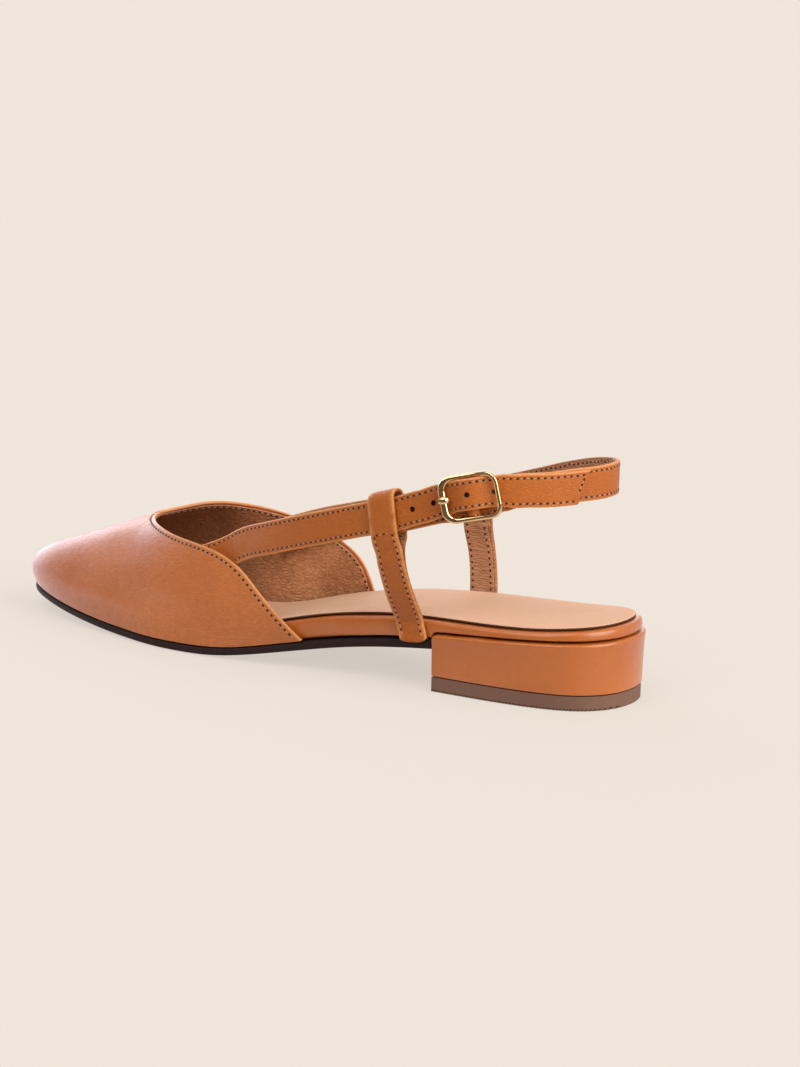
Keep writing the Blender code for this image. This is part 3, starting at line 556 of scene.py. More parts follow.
def grain_group():
    """Leather's surface: pebbles, pores, a net of wrinkles and a few long creases, as a height."""
    inputs = {
        "Vector": None, "Pebbles per Metre": 1500.0, "Wrinkles per Metre": 700.0, "Wrinkles": 0.4,
        "Creases per Metre": 160.0, "Creases": 0.5, "Fibres": 0.0,
    }
    group, given, out = new_group("Leather Grain", inputs, "Height", "Hollow", "Crease")
    links = {"Vector": given["Vector"], "Scale": 330.0, "Detail": 2.0}
    warp = node(group, "ShaderNodeTexNoise", links).outputs["Color"]
    links = {0: warp, 1: (0.0016, 0.0016, 0.0016), 2: given["Vector"]}
    warped = node(group, "ShaderNodeVectorMath", links, operation="MULTIPLY_ADD").outputs[0]
    links = {"Vector": warped, "Scale": given["Pebbles per Metre"]}
    cells = node(group, "ShaderNodeTexVoronoi", links).outputs["Distance"]
    pebble = maths(group, "POWER", cells, 1.6)
    links = {"Vector": warped, "Rotation": (0.3, 0.75, 0.5), "Scale": (0.6, 1.0, 1.5)}
    slanted = node(group, "ShaderNodeMapping", links).outputs[0]
    links = {"Vector": slanted, "Scale": given["Wrinkles per Metre"]}
    net = node(group, "ShaderNodeTexVoronoi", links, feature="DISTANCE_TO_EDGE").outputs["Distance"]
    net = times(group, stretch(group, net, 0.0, 0.2, 1.0, 0.0), given["Wrinkles"])
    folds = noise(group, slanted, given["Creases per Metre"], Detail=4.0, Distortion=0.6)
    ridge = maths(group, "ABSOLUTE", maths(group, "SUBTRACT", folds, 0.5))
    wide = noise(group, given["Vector"], 34.0, Detail=1.0)
    crease = stretch(group, ridge, 0.0, 0.05, 1.0, 0.0)
    deep = times(group, times(group, crease, stretch(group, wide, 0.42, 0.62)), given["Creases"])
    hair = noise(group, warped, 2300.0, Detail=3.0, Roughness=0.75)
    hollow = maths(group, "ADD", times(group, pebble, 0.7), net)
    height = maths(group, "SUBTRACT", 1.0, hollow)
    height = maths(group, "SUBTRACT", height, times(group, deep, 1.6))
    height = maths(group, "ADD", height, times(group, hair, given["Fibres"]))
    lead(group, out, Height=height, Hollow=hollow, Crease=deep)


def tone_group():
    """Slow changes of colour over a hide: cloudy patches and a finer mottle."""
    inputs = {"Vector": None, "Patches per Metre": 26.0}
    group, given, out = new_group("Hide Tone", inputs, "Patch", "Mottle")
    patch = noise(group, given["Vector"], given["Patches per Metre"], Detail=2.0)
    mottle = noise(group, given["Vector"], 420.0, Detail=5.0, Roughness=0.65)
    patch, mottle = stretch(group, patch, 0.34, 0.68), stretch(group, mottle, 0.3, 0.7)
    lead(group, out, Patch=patch, Mottle=mottle)


def edge_wear_and_highlight_group():
    """Where an edge is lighter, partly rubbed and partly a painted highlight, from the piece's own
    edge numbers.
    """
    group, given, out = new_group("Edge Wear And Highlight", {"Edge": 0.0, "Mottle": 0.5}, "Wear")
    uneven = stretch(group, given["Mottle"], 0.0, 1.0, 0.7, 1.1)
    lead(group, out, Wear=times(group, given["Edge"], uneven, True))


def use(tree, group_name, **links):
    """A node group's outputs; a label's blanks are written as underscores."""
    links = {key.replace("_", " "): value for key, value in links.items()}
    return node(
        tree, "ShaderNodeGroup", links, node_tree=bpy.data.node_groups[group_name]
    ).outputs


def new_material(name, **constants):
    """A material with a Principled shader and the piece's own coordinates."""
    look = bpy.data.materials.new(name)
    look.use_nodes = True
    tree = look.node_tree
    shader = tree.nodes["Principled BSDF"]
    for key, value in constants.items():
        shader.inputs[key.replace("_", " ")].default_value = value
    return look, tree, shader.inputs, node(tree, "ShaderNodeTexCoord").outputs["Object"]


def scaled(value, share):
    return [share * c for c in value]


def colour(value, share=1.0):
    return (*scaled(value, share), 1.0)


def leather(
    name, base, deep, light, roughness=0.40, pebbles=1500.0, wrinkles=0.4, wrinkle_scale=700.0,
    creases=0.5, crease_scale=160.0, fibres=0.0, relief=0.16, height=0.5, coat=0.25, cavity=0.35,
    turn=(0.0, 0.0, 0.0), stretched=(1.0, 1.0, 1.0), inside=None, specular=0.4, rub_and_highlight=0.65,
):
    """Leather with its grain, cloudy colour and lighter edges, partly rubbed and partly a painted
    highlight; inside, if given, is two places along the shoe between which the leather grows
    darker:
    painted shade deep in the shoe."""
    _, tree, shader, place = new_material(
        name, Coat_Weight=coat, Coat_Roughness=0.22, Specular_IOR_Level=specular
    )
    links = {"Vector": place, "Rotation": turn, "Scale": stretched}
    mapped = node(tree, "ShaderNodeMapping", links).outputs[0]
    grain = use(
        tree, "Leather Grain", Vector=mapped, Pebbles_per_Metre=pebbles, Wrinkles=wrinkles,
        Wrinkles_per_Metre=wrinkle_scale, Creases=creases, Creases_per_Metre=crease_scale,
        Fibres=fibres,
    )
    tone = use(tree, "Hide Tone", Vector=place)
    edge = node(tree, "ShaderNodeAttribute", attribute_name="edge").outputs["Fac"]
    wear_and_highlight = use(tree, "Edge Wear And Highlight", Edge=edge, Mottle=tone["Mottle"])["Wear"]
    middle = [0.5 * a + 0.5 * b for a, b in zip(base, deep)]
    shade = blend(tree, tone["Patch"], colour(base), colour(middle))
    shade = blend(tree, times(tree, tone["Mottle"], 0.28), shade, colour(deep))
    shade = blend(tree, times(tree, grain["Crease"], 0.5, True), shade, colour(deep))
    shade = blend(tree, times(tree, grain["Hollow"], cavity, True), shade, colour(deep))
    if inside:
        start, end = inside
        # Painted shade: between those two places the leather darkens towards its deep colour, deep
        # in the shoe.
        painted_shade_far_in = stretch(tree, axes_of(tree, place)["X"], start * MM, end * MM, 0.0, 0.85)
        shade = blend(tree, painted_shade_far_in, shade, colour(deep, 0.45))
    shade = blend(tree, times(tree, wear_and_highlight, rub_and_highlight, True), shade, colour(light))
    rough = stretch(tree, tone["Mottle"], 0.0, 1.0, roughness - 0.05, roughness + 0.07)
    rough = maths(tree, "ADD", rough, times(tree, grain["Hollow"], 0.12))
    raised = bump(tree, grain["Height"], height, relief)
    lead(tree, shader, Base_Color=shade, Roughness=rough, Normal=raised)


def make_materials():
    """Every finish of the shoe, from the colours in the panel."""
    pick = bpy.context.scene.slingback_colours
    grain_group()
    tone_group()
    edge_wear_and_highlight_group()
    leather(
        "tan_calf", pick.tan, pick.tan_deep, pick.tan_edge_wear_and_highlight, pebbles=2100.0, creases=0.3,
        wrinkles=0.6, wrinkle_scale=760.0, height=0.55, relief=0.2, cavity=0.5, coat=0.3,
        turn=(0.0, 0.6, 0.25), stretched=(0.55, 1.0, 1.45), specular=0.5,
    )
    leather(
        "strap_calf", pick.strap, pick.tan_deep, pick.tan_edge_wear_and_highlight, pebbles=2100.0, creases=0.15,
        crease_scale=330.0, wrinkles=0.7, wrinkle_scale=900.0, height=0.55, relief=0.2, coat=0.08,
        cavity=0.5, turn=(0.0, 0.8, 0.2), stretched=(0.5, 1.0, 1.5), specular=0.3,
    )
    leather(
        "cover_calf", pick.cover, pick.tan_deep, pick.tan_edge_wear_and_highlight, creases=0.1, wrinkles=0.15,
        height=0.25, roughness=0.33, coat=0.7, cavity=0.2,
    )
    raw = {
        "roughness": 0.66, "pebbles": 1700.0, "wrinkles": 0.8, "crease_scale": 230.0,
        "fibres": 0.4, "height": 0.8, "relief": 0.3, "coat": 0.0,
    }
    # The upper's lining grows darker from 24 to 54 mm towards the toe: painted shade inside the
    # shoe.
    leather(
        "pig_lining", pick.lining, pick.lining_deep, pick.lining_light, wrinkle_scale=560.0,
        creases=0.7, cavity=0.38, inside=(-24.0, -54.0), specular=0.2, rub_and_highlight=0.95, **raw,
    )
    leather(
        "strap_lining", scaled(pick.lining, 0.58), pick.lining_deep, pick.lining_light,
        wrinkle_scale=480.0, creases=0.6, cavity=0.34, stretched=(0.5, 0.5, 1.7), specular=0.3,
        rub_and_highlight=0.8, **raw,
    )
    leather(
        "nude_insole", pick.insole, pick.insole_deep, pick.insole_light, roughness=0.62,
        pebbles=2100.0, wrinkles=0.12, creases=0.15, crease_scale=120.0, height=0.2, coat=0.0,
        cavity=0.15, specular=0.12,
    )
    leather(
        "dark_cut_edge", pick.cut_edge, pick.cut_edge, pick.insole_deep, roughness=0.7,
        pebbles=1400.0, fibres=1.0, height=0.6, coat=0.0,
    )
    leather(
        "dark_sole_leather", pick.sole, scaled(pick.sole, 0.5), pick.sole_light, roughness=0.6,
        pebbles=900.0, creases=0.2, height=0.3, coat=0.0, specular=0.2,
    )
    leather(
        "top_piece_rubber", pick.rubber, scaled(pick.rubber, 0.6), pick.rubber, roughness=0.62,
        pebbles=2600.0, wrinkles=0.0, creases=0.0, height=0.3, coat=0.0,
    )
    thread_material(pick.thread)
    painted_shade_hole_material(pick.hole)
    brass_material(pick.brass)


def thread_material(base):
    _, tree, shader, place = new_material("waxed_thread", Roughness=0.55, Sheen_Weight=0.15)
    links = {"Vector": place, "Scale": 1500.0, "Distortion": 1.0}
    ply = node(tree, "ShaderNodeTexWave", links).outputs["Fac"]
    tone = use(tree, "Hide Tone", Vector=place)
    shade = blend(tree, ply, colour(base, 0.72), colour(base))
    shade = blend(tree, times(tree, tone["Mottle"], 0.2), shade, colour(base, 0.5))
    lead(tree, shader, Base_Color=shade, Normal=bump(tree, ply, 0.5, 0.05))


def painted_shade_hole_material(base):
    # A near-black finish for holes: painted shade where a hole's inside lies in shadow.
    _, tree, shader, place = new_material("painted_shade_hole", Roughness=0.9)
    tone = use(tree, "Hide Tone", Vector=place)
    shade = blend(tree, tone["Mottle"], colour(base), colour(base, 0.6))
    lead(tree, shader, Base_Color=shade)


def brass_material(base):
    _, tree, shader, place = new_material("pale_brass", Metallic=1.0)
    brushed = noise(tree, place, 900.0, Detail=4.0, Roughness=0.6)
    cloud = use(tree, "Hide Tone", Vector=place, Patches_per_Metre=120.0)
    shade = blend(tree, cloud["Patch"], colour(base), colour(base, 0.9))
    rough = stretch(tree, brushed, 0.3, 0.7, 0.05, 0.12)
    lead(tree, shader, Base_Color=shade, Roughness=rough, Normal=bump(tree, brushed, 0.02, 0.05))


# ---------------------------------------------------------------- sole and heel


def make_outsole_and_midsole():
    for node_name, name, width, finish, slot in (
        ("outsole", "outsole_dressed", 0.25, "dark_sole_leather", "outsole_leather"),
        ("midsole", "midsole_wrap", 0.3, "cover_calf", "tan_leather"),
    ):
        layer = copy_node(node_name, name)
        round_edges(layer, width)
        subdivide(layer, 2)
        smooth(layer, 50)
        paint(layer, finish)
        dress(layer, slot, node_name)


def make_insole():
    insole = copy_node("insole", "insole_sock")
    paint(insole, "nude_insole", "dark_cut_edge")
    round_edges(insole, 0.12)
    subdivide(insole, 2)
    for face in insole.data.polygons:
        face.material_index = 0 if face.normal.z > 0.5 else 1
    smooth(insole, 50)
    dress(insole, "insole_leather", "insole")


def make_heel_block():
    block = copy_node("heel_block", "heel_cover")
    low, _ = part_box("heel_block")
    level_out(block, low[2] + 0.5 * MM, low[2] + 0.08 * MM)
    round_edges(block, 0.3, 3)
    subdivide(block, 2)
    round_front_corners(block)
    smooth(block, 50)
    paint(block, "cover_calf")
    dress(block, "tan_leather", "heel_block")


def level_out(obj, height, to):
    """Moves the ring of points at one height to another, for a crisper edge."""
    for vert in obj.data.vertices:
        if abs(vert.co.z - height) < 0.03 * MM:
            vert.co.z = to


def round_front_corners(block, radius=2.4):
    """Rounds the two upper corners of the covered heel's front, under the waist."""
    front = min(vert.co.x for vert in block.data.vertices)
    for side in (-1, 1):
        near = [
            v for v in block.data.vertices if v.co.x < front + 5 * MM and v.co.y * side > 8 * MM
        ]
        top, flank = max(v.co.z for v in near), max(v.co.y * side for v in near)
        for vert in near:
            high = radius * MM - (top - vert.co.z)
            ahead = radius * MM - (vert.co.x - front)
            if high > 0 and ahead > 0 and math.hypot(high, ahead) > radius * MM:
                wide = ramp(vert.co.y * side, flank - 6 * MM, flank - 1 * MM)
                past = math.hypot(high, ahead) - radius * MM
                pull = past * wide / math.hypot(high, ahead)
                vert.co.z -= high * pull
                vert.co.x += ahead * pull


def make_top_piece():
    settings = bpy.context.scene.slingback_tread
    piece = copy_node("top_piece", "top_piece_dressed")
    paint(piece, "top_piece_rubber")
    low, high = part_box("top_piece")
    level_out(piece, low[2] + 0.4 * MM, low[2] + 0.1 * MM)
    level_out(piece, high[2] - 0.4 * MM, high[2] - 0.06 * MM)
    round_edges(piece, 0.12)
    subdivide(piece, 2)
    grooves = add(bpy.ops.mesh.primitive_cube_add, size=1)
    size = (settings.groove_width, high[1] - low[1] + 4 * MM, 2 * settings.groove)
    first = (low[0] + settings.pitch, (low[1] + high[1]) / 2, low[2])
    edit(
        grooves,
        lambda: bpy.ops.transform.resize(value=size),
        lambda: bpy.ops.transform.translate(value=first),
    )
    finish_with(
        grooves, "ARRAY", count=int((high[0] - low[0] - settings.pitch) / settings.pitch),
        use_relative_offset=False, use_constant_offset=True,
        constant_offset_displace=(settings.pitch, 0.0, 0.0),
    )
    # The grooves' faces take the outsole's near-black finish: painted shade in the grooves.
    paint(grooves, "dark_sole_leather")
    cut(piece, grooves)
    smooth(piece, 30)
    dress(piece, "heel_rubber", "top_piece")


# ---------------------------------------------------------------- upper


def topline_of(skin, feather):
    """The open edge of the upper that isn't on the sole, as one chain of points."""
    shape = bmesh.new()
    shape.from_mesh(skin.data)

    def free(vert):
        return feather.find_nearest(vert.co)[3] > 1.1 * MM

    links = {}
    for edge in shape.edges:
        if edge.is_boundary and all(free(vert) for vert in edge.verts):
            for vert in edge.verts:
                links.setdefault(vert, []).append(edge.other_vert(vert))
    ends = [vert for vert, near in links.items() if len(near) == 1]
    chain, before = [min(ends, key=lambda vert: vert.co.y)], None
    while ahead := [vert for vert in links[chain[-1]] if vert is not before]:
        before = chain[-1]
        chain.append(ahead[0])
    points = [vert.co.copy() for vert in chain]
    shape.free()
    return points


def inside_edge(chain, tree, inset):
    """A chain of points moved in over the surface, away from its open edge."""
    moved = []
    for k, point in enumerate(chain):
        ahead = (chain[min(k + 2, len(chain) - 1)] - chain[max(k - 2, 0)]).normalized()
        _, normal, _, _ = tree.find_nearest(point)
        side = normal.cross(ahead).normalized() * inset
        if tree.find_nearest(point + side)[3] > tree.find_nearest(point - side)[3]:
            side = -side
        moved.append(tree.find_nearest(point + side)[0])
    return moved


def make_upper():
    """The upper's leather, its lining and the stitches round its topline."""
    low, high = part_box("upper")
    skin = copy_node("upper", "upper_leather")
    select_region(skin, Vector((low[0], (low[1] + high[1]) / 2, low[2] + 8 * MM)), 55.0)
    bpy.ops.mesh.select_all(action="INVERT")
    bpy.ops.mesh.delete(type="FACE")
    bpy.ops.mesh.select_all(action="SELECT")
    bpy.ops.mesh.mark_sharp(clear=True)
    bpy.ops.object.mode_set(mode="OBJECT")
    taper_rear_ends(skin)
    subdivide(skin, 1)
    for start, end, width, depth in VAMP_CREASES:
        press(skin, between(start, end), width, depth)
    fine = copy_mesh(skin, "upper_fine")
    subdivide(fine, 2)
    edge = topline_of(fine, tree_of(frame["nodes"]["outsole"]))
    surface = tree_of(fine)
    row = inside_edge(edge, surface, bpy.context.scene.slingback_stitching.inset)
    discard(fine)
    rim = points_tree(edge)

    lining = copy_mesh(skin, "upper_lining")
    finish_with(
        skin, "SOLIDIFY", thickness=1.1 * MM, offset=-1.0, use_even_offset=True, use_rim=True,
        edge_crease_outer=0.5, edge_crease_inner=0.6,
    )
    subdivide(skin, 2)
    tree = tree_of(skin)
    seam = seam_on(tree, row, 1.5)
    furrow = seam_on(tree, row, 0.2)
    press(skin, [place for place, _, _ in furrow], 1.3, 0.16, [normal for _, _, normal in furrow])
    # The topline's rolled rim is painted lighter: partly rubbed, partly a painted highlight.
    mark_edge(skin, lambda vert: 1 - ramp(rim.find(vert.co)[2] / MM, 0.2, 1.1))
    smooth(skin, 60)
    paint(skin, "tan_calf")
    dress(skin, "tan_leather", "upper")

    trim_lining(lining, edge, surface)
    finish_with(
        lining, "SOLIDIFY", thickness=0.5 * MM, offset=-1.0, use_rim=True,
        edge_crease_outer=0.8, edge_crease_inner=0.8,
    )
    subdivide(lining, 1)
    mark_edge(lining, lambda vert: 1 - ramp(rim.find(vert.co)[2] / MM, 1.2, 1.9))
    smooth(lining, 60)
    paint(lining, "pig_lining")
    dress(lining, "tan_leather")
    tree = tree_of(skin)
    seam = [(tree.find_nearest(place)[0], ahead, normal) for place, ahead, normal in seam]
    sew("upper_stitching", (seam, seam_behind(tree_of(lining), seam, 6.0)))


def taper_rear_ends(skin, reach=2.4, rise=0.22):
    """Draws each quarter's blunt rear end out to a point along the sole."""
    for side in (-1, 1):
        back = max(vert.co.x for vert in skin.data.vertices if vert.co.y * side > 0)
        column = [v for v in skin.data.vertices if v.co.y * side > 0 and back - v.co.x < 0.05 * MM]
        low, high = min(v.co.z for v in column), max(v.co.z for v in column)
        for vert in column:
            move = reach * MM * (high - vert.co.z) / (high - low)
            vert.co.x += move
            vert.co.z += rise * move


def trim_lining(lining, edge, surface, reach=6.0, inside=1.2):
    """Draws the lining's edge back from the leather's folded edge, and the lining inside it."""
    rim = points_tree(edge)
    inward = inside_edge(edge, surface, MM)
    for vert in lining.data.vertices:
        point, index, distance = rim.find(vert.co)
        if distance < reach * MM:
            trim = 1.9 - 1.1 * ramp(point.z / MM, 16.0, 26.0)
            away = (inward[index] if distance < 0.3 * MM else vert.co) - point
            wanted = trim * MM + distance * (1 - trim / reach)
            vert.co = surface.find_nearest(point + away.normalized() * wanted)[0]
        place, normal, _, _ = surface.find_nearest(vert.co)
        vert.co = place - normal * inside * MM


# ---------------------------------------------------------------- straps


def strap_curve():
    """The line that both straps are bent along, made on first use."""
    if "strap_line" in bpy.data.objects:
        return bpy.data.objects["strap_line"]
    line = new_curve("strap_line", [Vector(place) * MM for *place, _ in STRAP_LINE], 20)
    line.data.use_path = True
    for point, (*_, lean) in zip(line.data.splines[0].bezier_points, STRAP_LINE):
        point.tilt = math.radians(lean)
    return line


def bend(obj):
    """Bends a piece modelled flat along X round the straps' line."""
    finish_with(obj, "CURVE", object=strap_curve(), deform_axis="POS_X")


def bent(points):
    """Where points of the flat layout come to lie."""
    layout = new_mesh("layout", [Vector(point) * MM for point in points], [])
    bend(layout)
    moved = [vert.co.copy() for vert in layout.data.vertices]
    discard(layout)
    return moved


def drop_in(table, along):
    """How far below the line a strap lies, from its table of places past the bar."""
    offset = along - BUCKLE_AT
    (before, drop), *rest = table
    for after, next_drop in rest:
        if offset < after:
            return drop + (next_drop - drop) * ramp(offset, before, after)
        before, drop = after, next_drop
    return drop


def billet_lie(along):
    """How far outside the line the free end lies, how far below it, and its share of its width,
    which is less where the buckle's frame holds it."""
    offset = abs(along - BUCKLE_AT)
    out = LAYER + (OVER_BAR - LAYER) * ramp(HUMP_TOP - offset / HUMP_REACH, 0.0, 1.0)
    return out, drop_in(BILLET_DROP, along), 1 - DRAWN_IN * (1 - ramp(offset, 7.0, 14.0))


def underlay_lie(along):
    """The same for the heel strap, which lies inside the line."""
    return -LAYER, drop_in(UNDERLAY_DROP, along), 1.0


def flat_strip(name, start, end, rows, cell=1.2):
    """A flat strip along X with its rows of points at the given heights, its face towards -Y."""
    columns, last = round((end - start) / cell), len(rows) - 1
    strip = add(
        bpy.ops.mesh.primitive_grid_add, x_subdivisions=columns, y_subdivisions=last, size=2
    )
    strip.name = strip.data.name = name
    for vert in strip.data.vertices:
        along = start + (vert.co.x + 1) / 2 * (end - start)
        vert.co = Vector((along, 0.0, rows[round((vert.co.y + 1) / 2 * last)])) * MM
    return strip


def strap_layer(name, start, end, faces, finish, width=1.0, rolled=True):
    """One layer of a strap, flat, between its front and its back face."""
    front, back = faces
    strip = flat_strip(name, start, end, [row * width for row in STRAP_ROWS])
    finish_with(strip, "SOLIDIFY", thickness=(front - back) * MM, offset=-1.0, use_rim=True)
    for vert in strip.data.vertices:
        vert.co.y -= front * MM
        height = abs(vert.co.z) / MM
        if rolled and vert.co.y < -(front - 0.01) * MM:
            if abs(height - ROW_AT) < 0.1:
                vert.co.y += ROW_SINK * MM
            elif height > HALF_WIDTH - 0.15:
                vert.co.y += EDGE_ROLL * MM
    subdivide(strip, 1)
    share = 1.0 if rolled else 0.0
    # The leather's rolled long edges are painted lighter: partly rubbed, partly a painted
    # highlight.
    mark_edge(strip, lambda vert: share * ramp(abs(vert.co.z) / MM, EDGE_WEAR_AND_HIGHLIGHT_FROM, EDGE_WEAR_AND_HIGHLIGHT_TO))
    paint(strip, finish)
    return strip


def two_layers(name, start, end):
    """A flat strap's leather and its lining."""
    return (
        strap_layer(name, start, end, LEATHER_FACES, "strap_calf"),
        strap_layer(
            name + "_back", start, end, LINING_FACES, "strap_lining", LINING_WIDTH, False
        ),
    )


def slant_tip(strap, reach=14.0):
    """Cuts the tip of the flat free end on a slant."""
    for vert in strap.data.vertices:
        share = ramp(vert.co.x / MM, BILLET_TIP - reach, BILLET_TIP)
        vert.co.x += TIP_SLANT * vert.co.z / (2 * HALF_WIDTH) * share


def place_strap(obj, lie):
    """Moves a flat strap's points to where it lies beside the line, then bends it."""
    for vert in obj.data.vertices:
        out, drop, width = lie(vert.co.x / MM)
        vert.co.z *= width
        vert.co.y -= out * MM
        vert.co.z -= drop * MM
    obj.data.update()
    bend(obj)


def strap_rows(rows, lie):
    """Rows of flat places on a strap's face, bent with it."""
    moved = []
    for row in rows:
        flat = []
        for along, height in row:
            out, drop, width = lie(along)
            flat.append((along, -HALF_THICKNESS - out, height * width - drop))
        moved.append(bent(flat))
    return moved


def long_row(start, end, height):
    count = round((end - start) / 1.5)
    return [(start + (end - start) * k / count, height) for k in range(count + 1)]


def punch(layer, radii, inside):
    """Punches a flat layer's holes; the prong's goes right through, the others stop inside the
    layer, and their walls and floors take the near-black hole finish: painted shade.
    """
    for offset, radius in zip(HOLES, radii):
        depth, middle, lower = HOLE_DEPTH, inside, 0.0
        if offset == PRONG_HOLE:
            depth, middle, lower = PRONG_HOLE_DEPTH, 0.0, PRONG_HOLE_LOWER
        hole = add(
            bpy.ops.mesh.primitive_cylinder_add, vertices=20, radius=radius, depth=depth * MM
        )
        move = ((BUCKLE_AT + offset) * MM, middle * MM, -lower * MM)
        edit(
            hole,
            lambda: bpy.ops.transform.rotate(
                value=math.pi / 2, orient_axis="X", center_override=(0, 0, 0)
            ),
            lambda: bpy.ops.transform.translate(value=move),
        )
        paint(hole, "painted_shade_hole")
        cut(layer, hole)


def make_billet():
    """The free end of the strap, with its lining, holes and stitching."""
    settings = bpy.context.scene.slingback_strap
    radii = [settings.prong_hole if hole == PRONG_HOLE else settings.hole for hole in HOLES]
    strap, back = two_layers("billet", BILLET_START, BILLET_TIP)
    for layer, inside in ((strap, LEATHER_HOLE), (back, LINING_HOLE)):
        slant_tip(layer)
        punch(layer, radii, inside)
        place_strap(layer, billet_lie)
    join(strap, back)
    smooth(strap, 50)
    dress(strap, "tan_leather", "billet_strap")
    start, tip, lean = BILLET_START + 2, BILLET_TIP - TIP_INSET, TIP_SLANT / (2 * HALF_WIDTH)
    rows = [
        long_row(start, tip - ROW_AT * lean, -ROW_AT),
        long_row(start, tip + ROW_AT * lean, ROW_AT),
        [(tip + lean * height, height) for height in (-3.4, -1.7, 0.0, 1.7, 3.4)],
    ]
    sew_through("billet_stitching", tree_of(strap), strap_rows(rows, billet_lie), 0.8, 5.0)


def make_heel_strap():
    """The strap round the heel, with its lining, its fold round the bar and its stitching."""
    start, end = HEEL_STRAP_START, HEEL_STRAP_END
    strap, back = two_layers("heel_sling", start, end)
    for layer in (strap, back):
        place_strap(layer, underlay_lie)
    join(strap, back, *(bar_fold(low, high) for low, high in BAR_FOLDS))
    smooth(strap, 50)
    dress(strap, "tan_leather", "heel_strap")
    rows = strap_rows([long_row(start + 1, end - 1, z) for z in (-ROW_AT, ROW_AT)], underlay_lie)
    sew_through("heel_strap_stitching", tree_of(strap), rows, 0.8, 5.0)


def settle(obj):
    """Puts a piece modelled in millimetres about the buckle's bar in its place."""
    along, inside, up = BUCKLE_AT, -BAR_OUT, BAR_LIFT
    centre, *ends = bent(
        ((along, inside, up), (along + 1, inside, up), (along, inside, up + 1))
    )
    ahead, upward = ((end - centre).normalized() for end in ends)
    inward = upward.cross(ahead).normalized()
    turn = Matrix((ahead, inward, ahead.cross(inward))).transposed().to_4x4()
    obj.data.transform(Matrix.Translation(centre) @ turn @ Matrix.Scale(MM, 4))
    obj.data.update()


def bar_fold(low, high):
    """A hollow fold of strap round the buckle's bar."""
    fold = add(
        bpy.ops.mesh.primitive_cylinder_add, vertices=24, radius=2.1, depth=high - low,
        end_fill_type="NOTHING", location=(0, 0, (high + low) / 2),
    )
    bpy.ops.object.transform_apply(location=True, rotation=True, scale=True)
    finish_with(fold, "SOLIDIFY", thickness=0.9, offset=-1.0)
    finish_with(fold, "BEVEL", width=0.2, segments=2, limit_method="ANGLE", angle_limit=1.0)
    settle(fold)
    paint(fold, "strap_calf")
    return fold


# ---------------------------------------------------------------- side straps


def strip_rungs(obj):
    """The cross edges of the selected strip of faces, in order from its lowest end."""
    shape = bmesh.new()
    shape.from_mesh(obj.data)
    faces = {face for face in shape.faces if face.select}
    reach = 0.8 * max(edge.calc_length() for face in faces for edge in face.edges)
    rungs = {e for face in faces for e in face.edges if e.calc_length() > reach}
    ends = [e for e in rungs if sum(face in faces for face in e.link_faces) == 1]
    here = min(ends, key=lambda e: min(v.co.z for v in e.verts))
    pairs, used = [tuple(here.verts)], set()
    while ahead := [face for face in here.link_faces if face in faces and face not in used]:
        used.add(ahead[0])
        here = next(e for e in ahead[0].edges if e in rungs and e is not here)
        first, last = here.verts
        rails = [e for e in first.link_edges if e not in rungs]
        beside = any(e.other_vert(first) is pairs[-1][0] for e in rails)
        pairs.append((first, last) if beside else (last, first))
    found = [(a.co.copy(), b.co.copy()) for a, b in pairs]
    shape.free()
    return found


def rung_normal(rungs, k, inward):
    """The direction from the outer face inwards at one rung."""
    a, b = rungs[k]
    ahead = rungs[min(k + 1, len(rungs) - 1)][0] - rungs[max(k - 1, 0)][0]
    normal = (b - a).cross(ahead).normalized()
    return normal if normal.dot(inward) > 0 else -normal


def drawn_down(rungs, k, level):
    """One rung, drawn down to a level if it lies over it."""
    a, b = rungs[k]
    if a.z <= level:
        return a, b
    below, beside = rungs[k - 1]
    share = (level - below.z) / (a.z - below.z)
    return below.lerp(a, share), beside.lerp(b, share)


def over_fold(rungs, height):
    """From 0 at the lower to 1 at the upper of the two heights where the pressing ends."""
    low, high = (rungs[-1][0].z + height_over * MM for height_over in FOLD_TOP)
    return ramp(height, low, high)


def press_folded_end(strap, rungs, peak_at, inward):
    """Presses the folded end flat against the strap below what the loop carries."""
    front = points_tree([(a + b) / 2 for a, b in rungs[: peak_at - 1]])
    for vert in strap.data.vertices:
        middle, k, _ = front.find(vert.co)
        normal = rung_normal(rungs, k, inward)
        depth = (vert.co - middle).dot(normal) / MM - PRESSED_FROM
        share = 1 - over_fold(rungs, vert.co.z)
        if depth > 0 and share > 0:
            vert.co -= normal * (depth * PRESSED * share * MM)


def inner_layer(inward, rungs):
    """The side strap's own lining, from its foot up over the folded end."""
    folded_end = rungs[-1][0].z
    top = folded_end + FOLD_TOP[1] * MM
    points, across = [], (0.04, 0.3, 0.5, 0.7, 0.96)
    for k in range(len(rungs)):
        a, b = drawn_down(rungs, k, top)
        share = ramp(a.z, folded_end - 4.0 * MM, folded_end) + 0.7 * over_fold(rungs, a.z)
        depth = LINING_IN + (FOLDED_IN - LINING_IN) * share
        normal = rung_normal(rungs, k, inward)
        points += [a.lerp(b, t) + normal * (depth * MM) for t in across]
        # A row that rounding leaves just under the top is followed by more rows there.
        if a.z >= top:
            break
    columns = len(across)
    faces = [
        (k, k + 1, k + columns + 1, k + columns)
        for k in range(len(points) - columns) if (k + 1) % columns
    ]
    made = new_mesh("side_lining", points, faces)
    finish_with(made, "SOLIDIFY", thickness=0.5 * MM, offset=0.0)
    edit(made, face_outwards)
    finish_with(made, "BEVEL", width=0.12 * MM, segments=1, limit_method="ANGLE")
    subdivide(made, 2)
    paint(made, "strap_lining")
    mark_edge(made, lambda vert: 0.0)
    return made


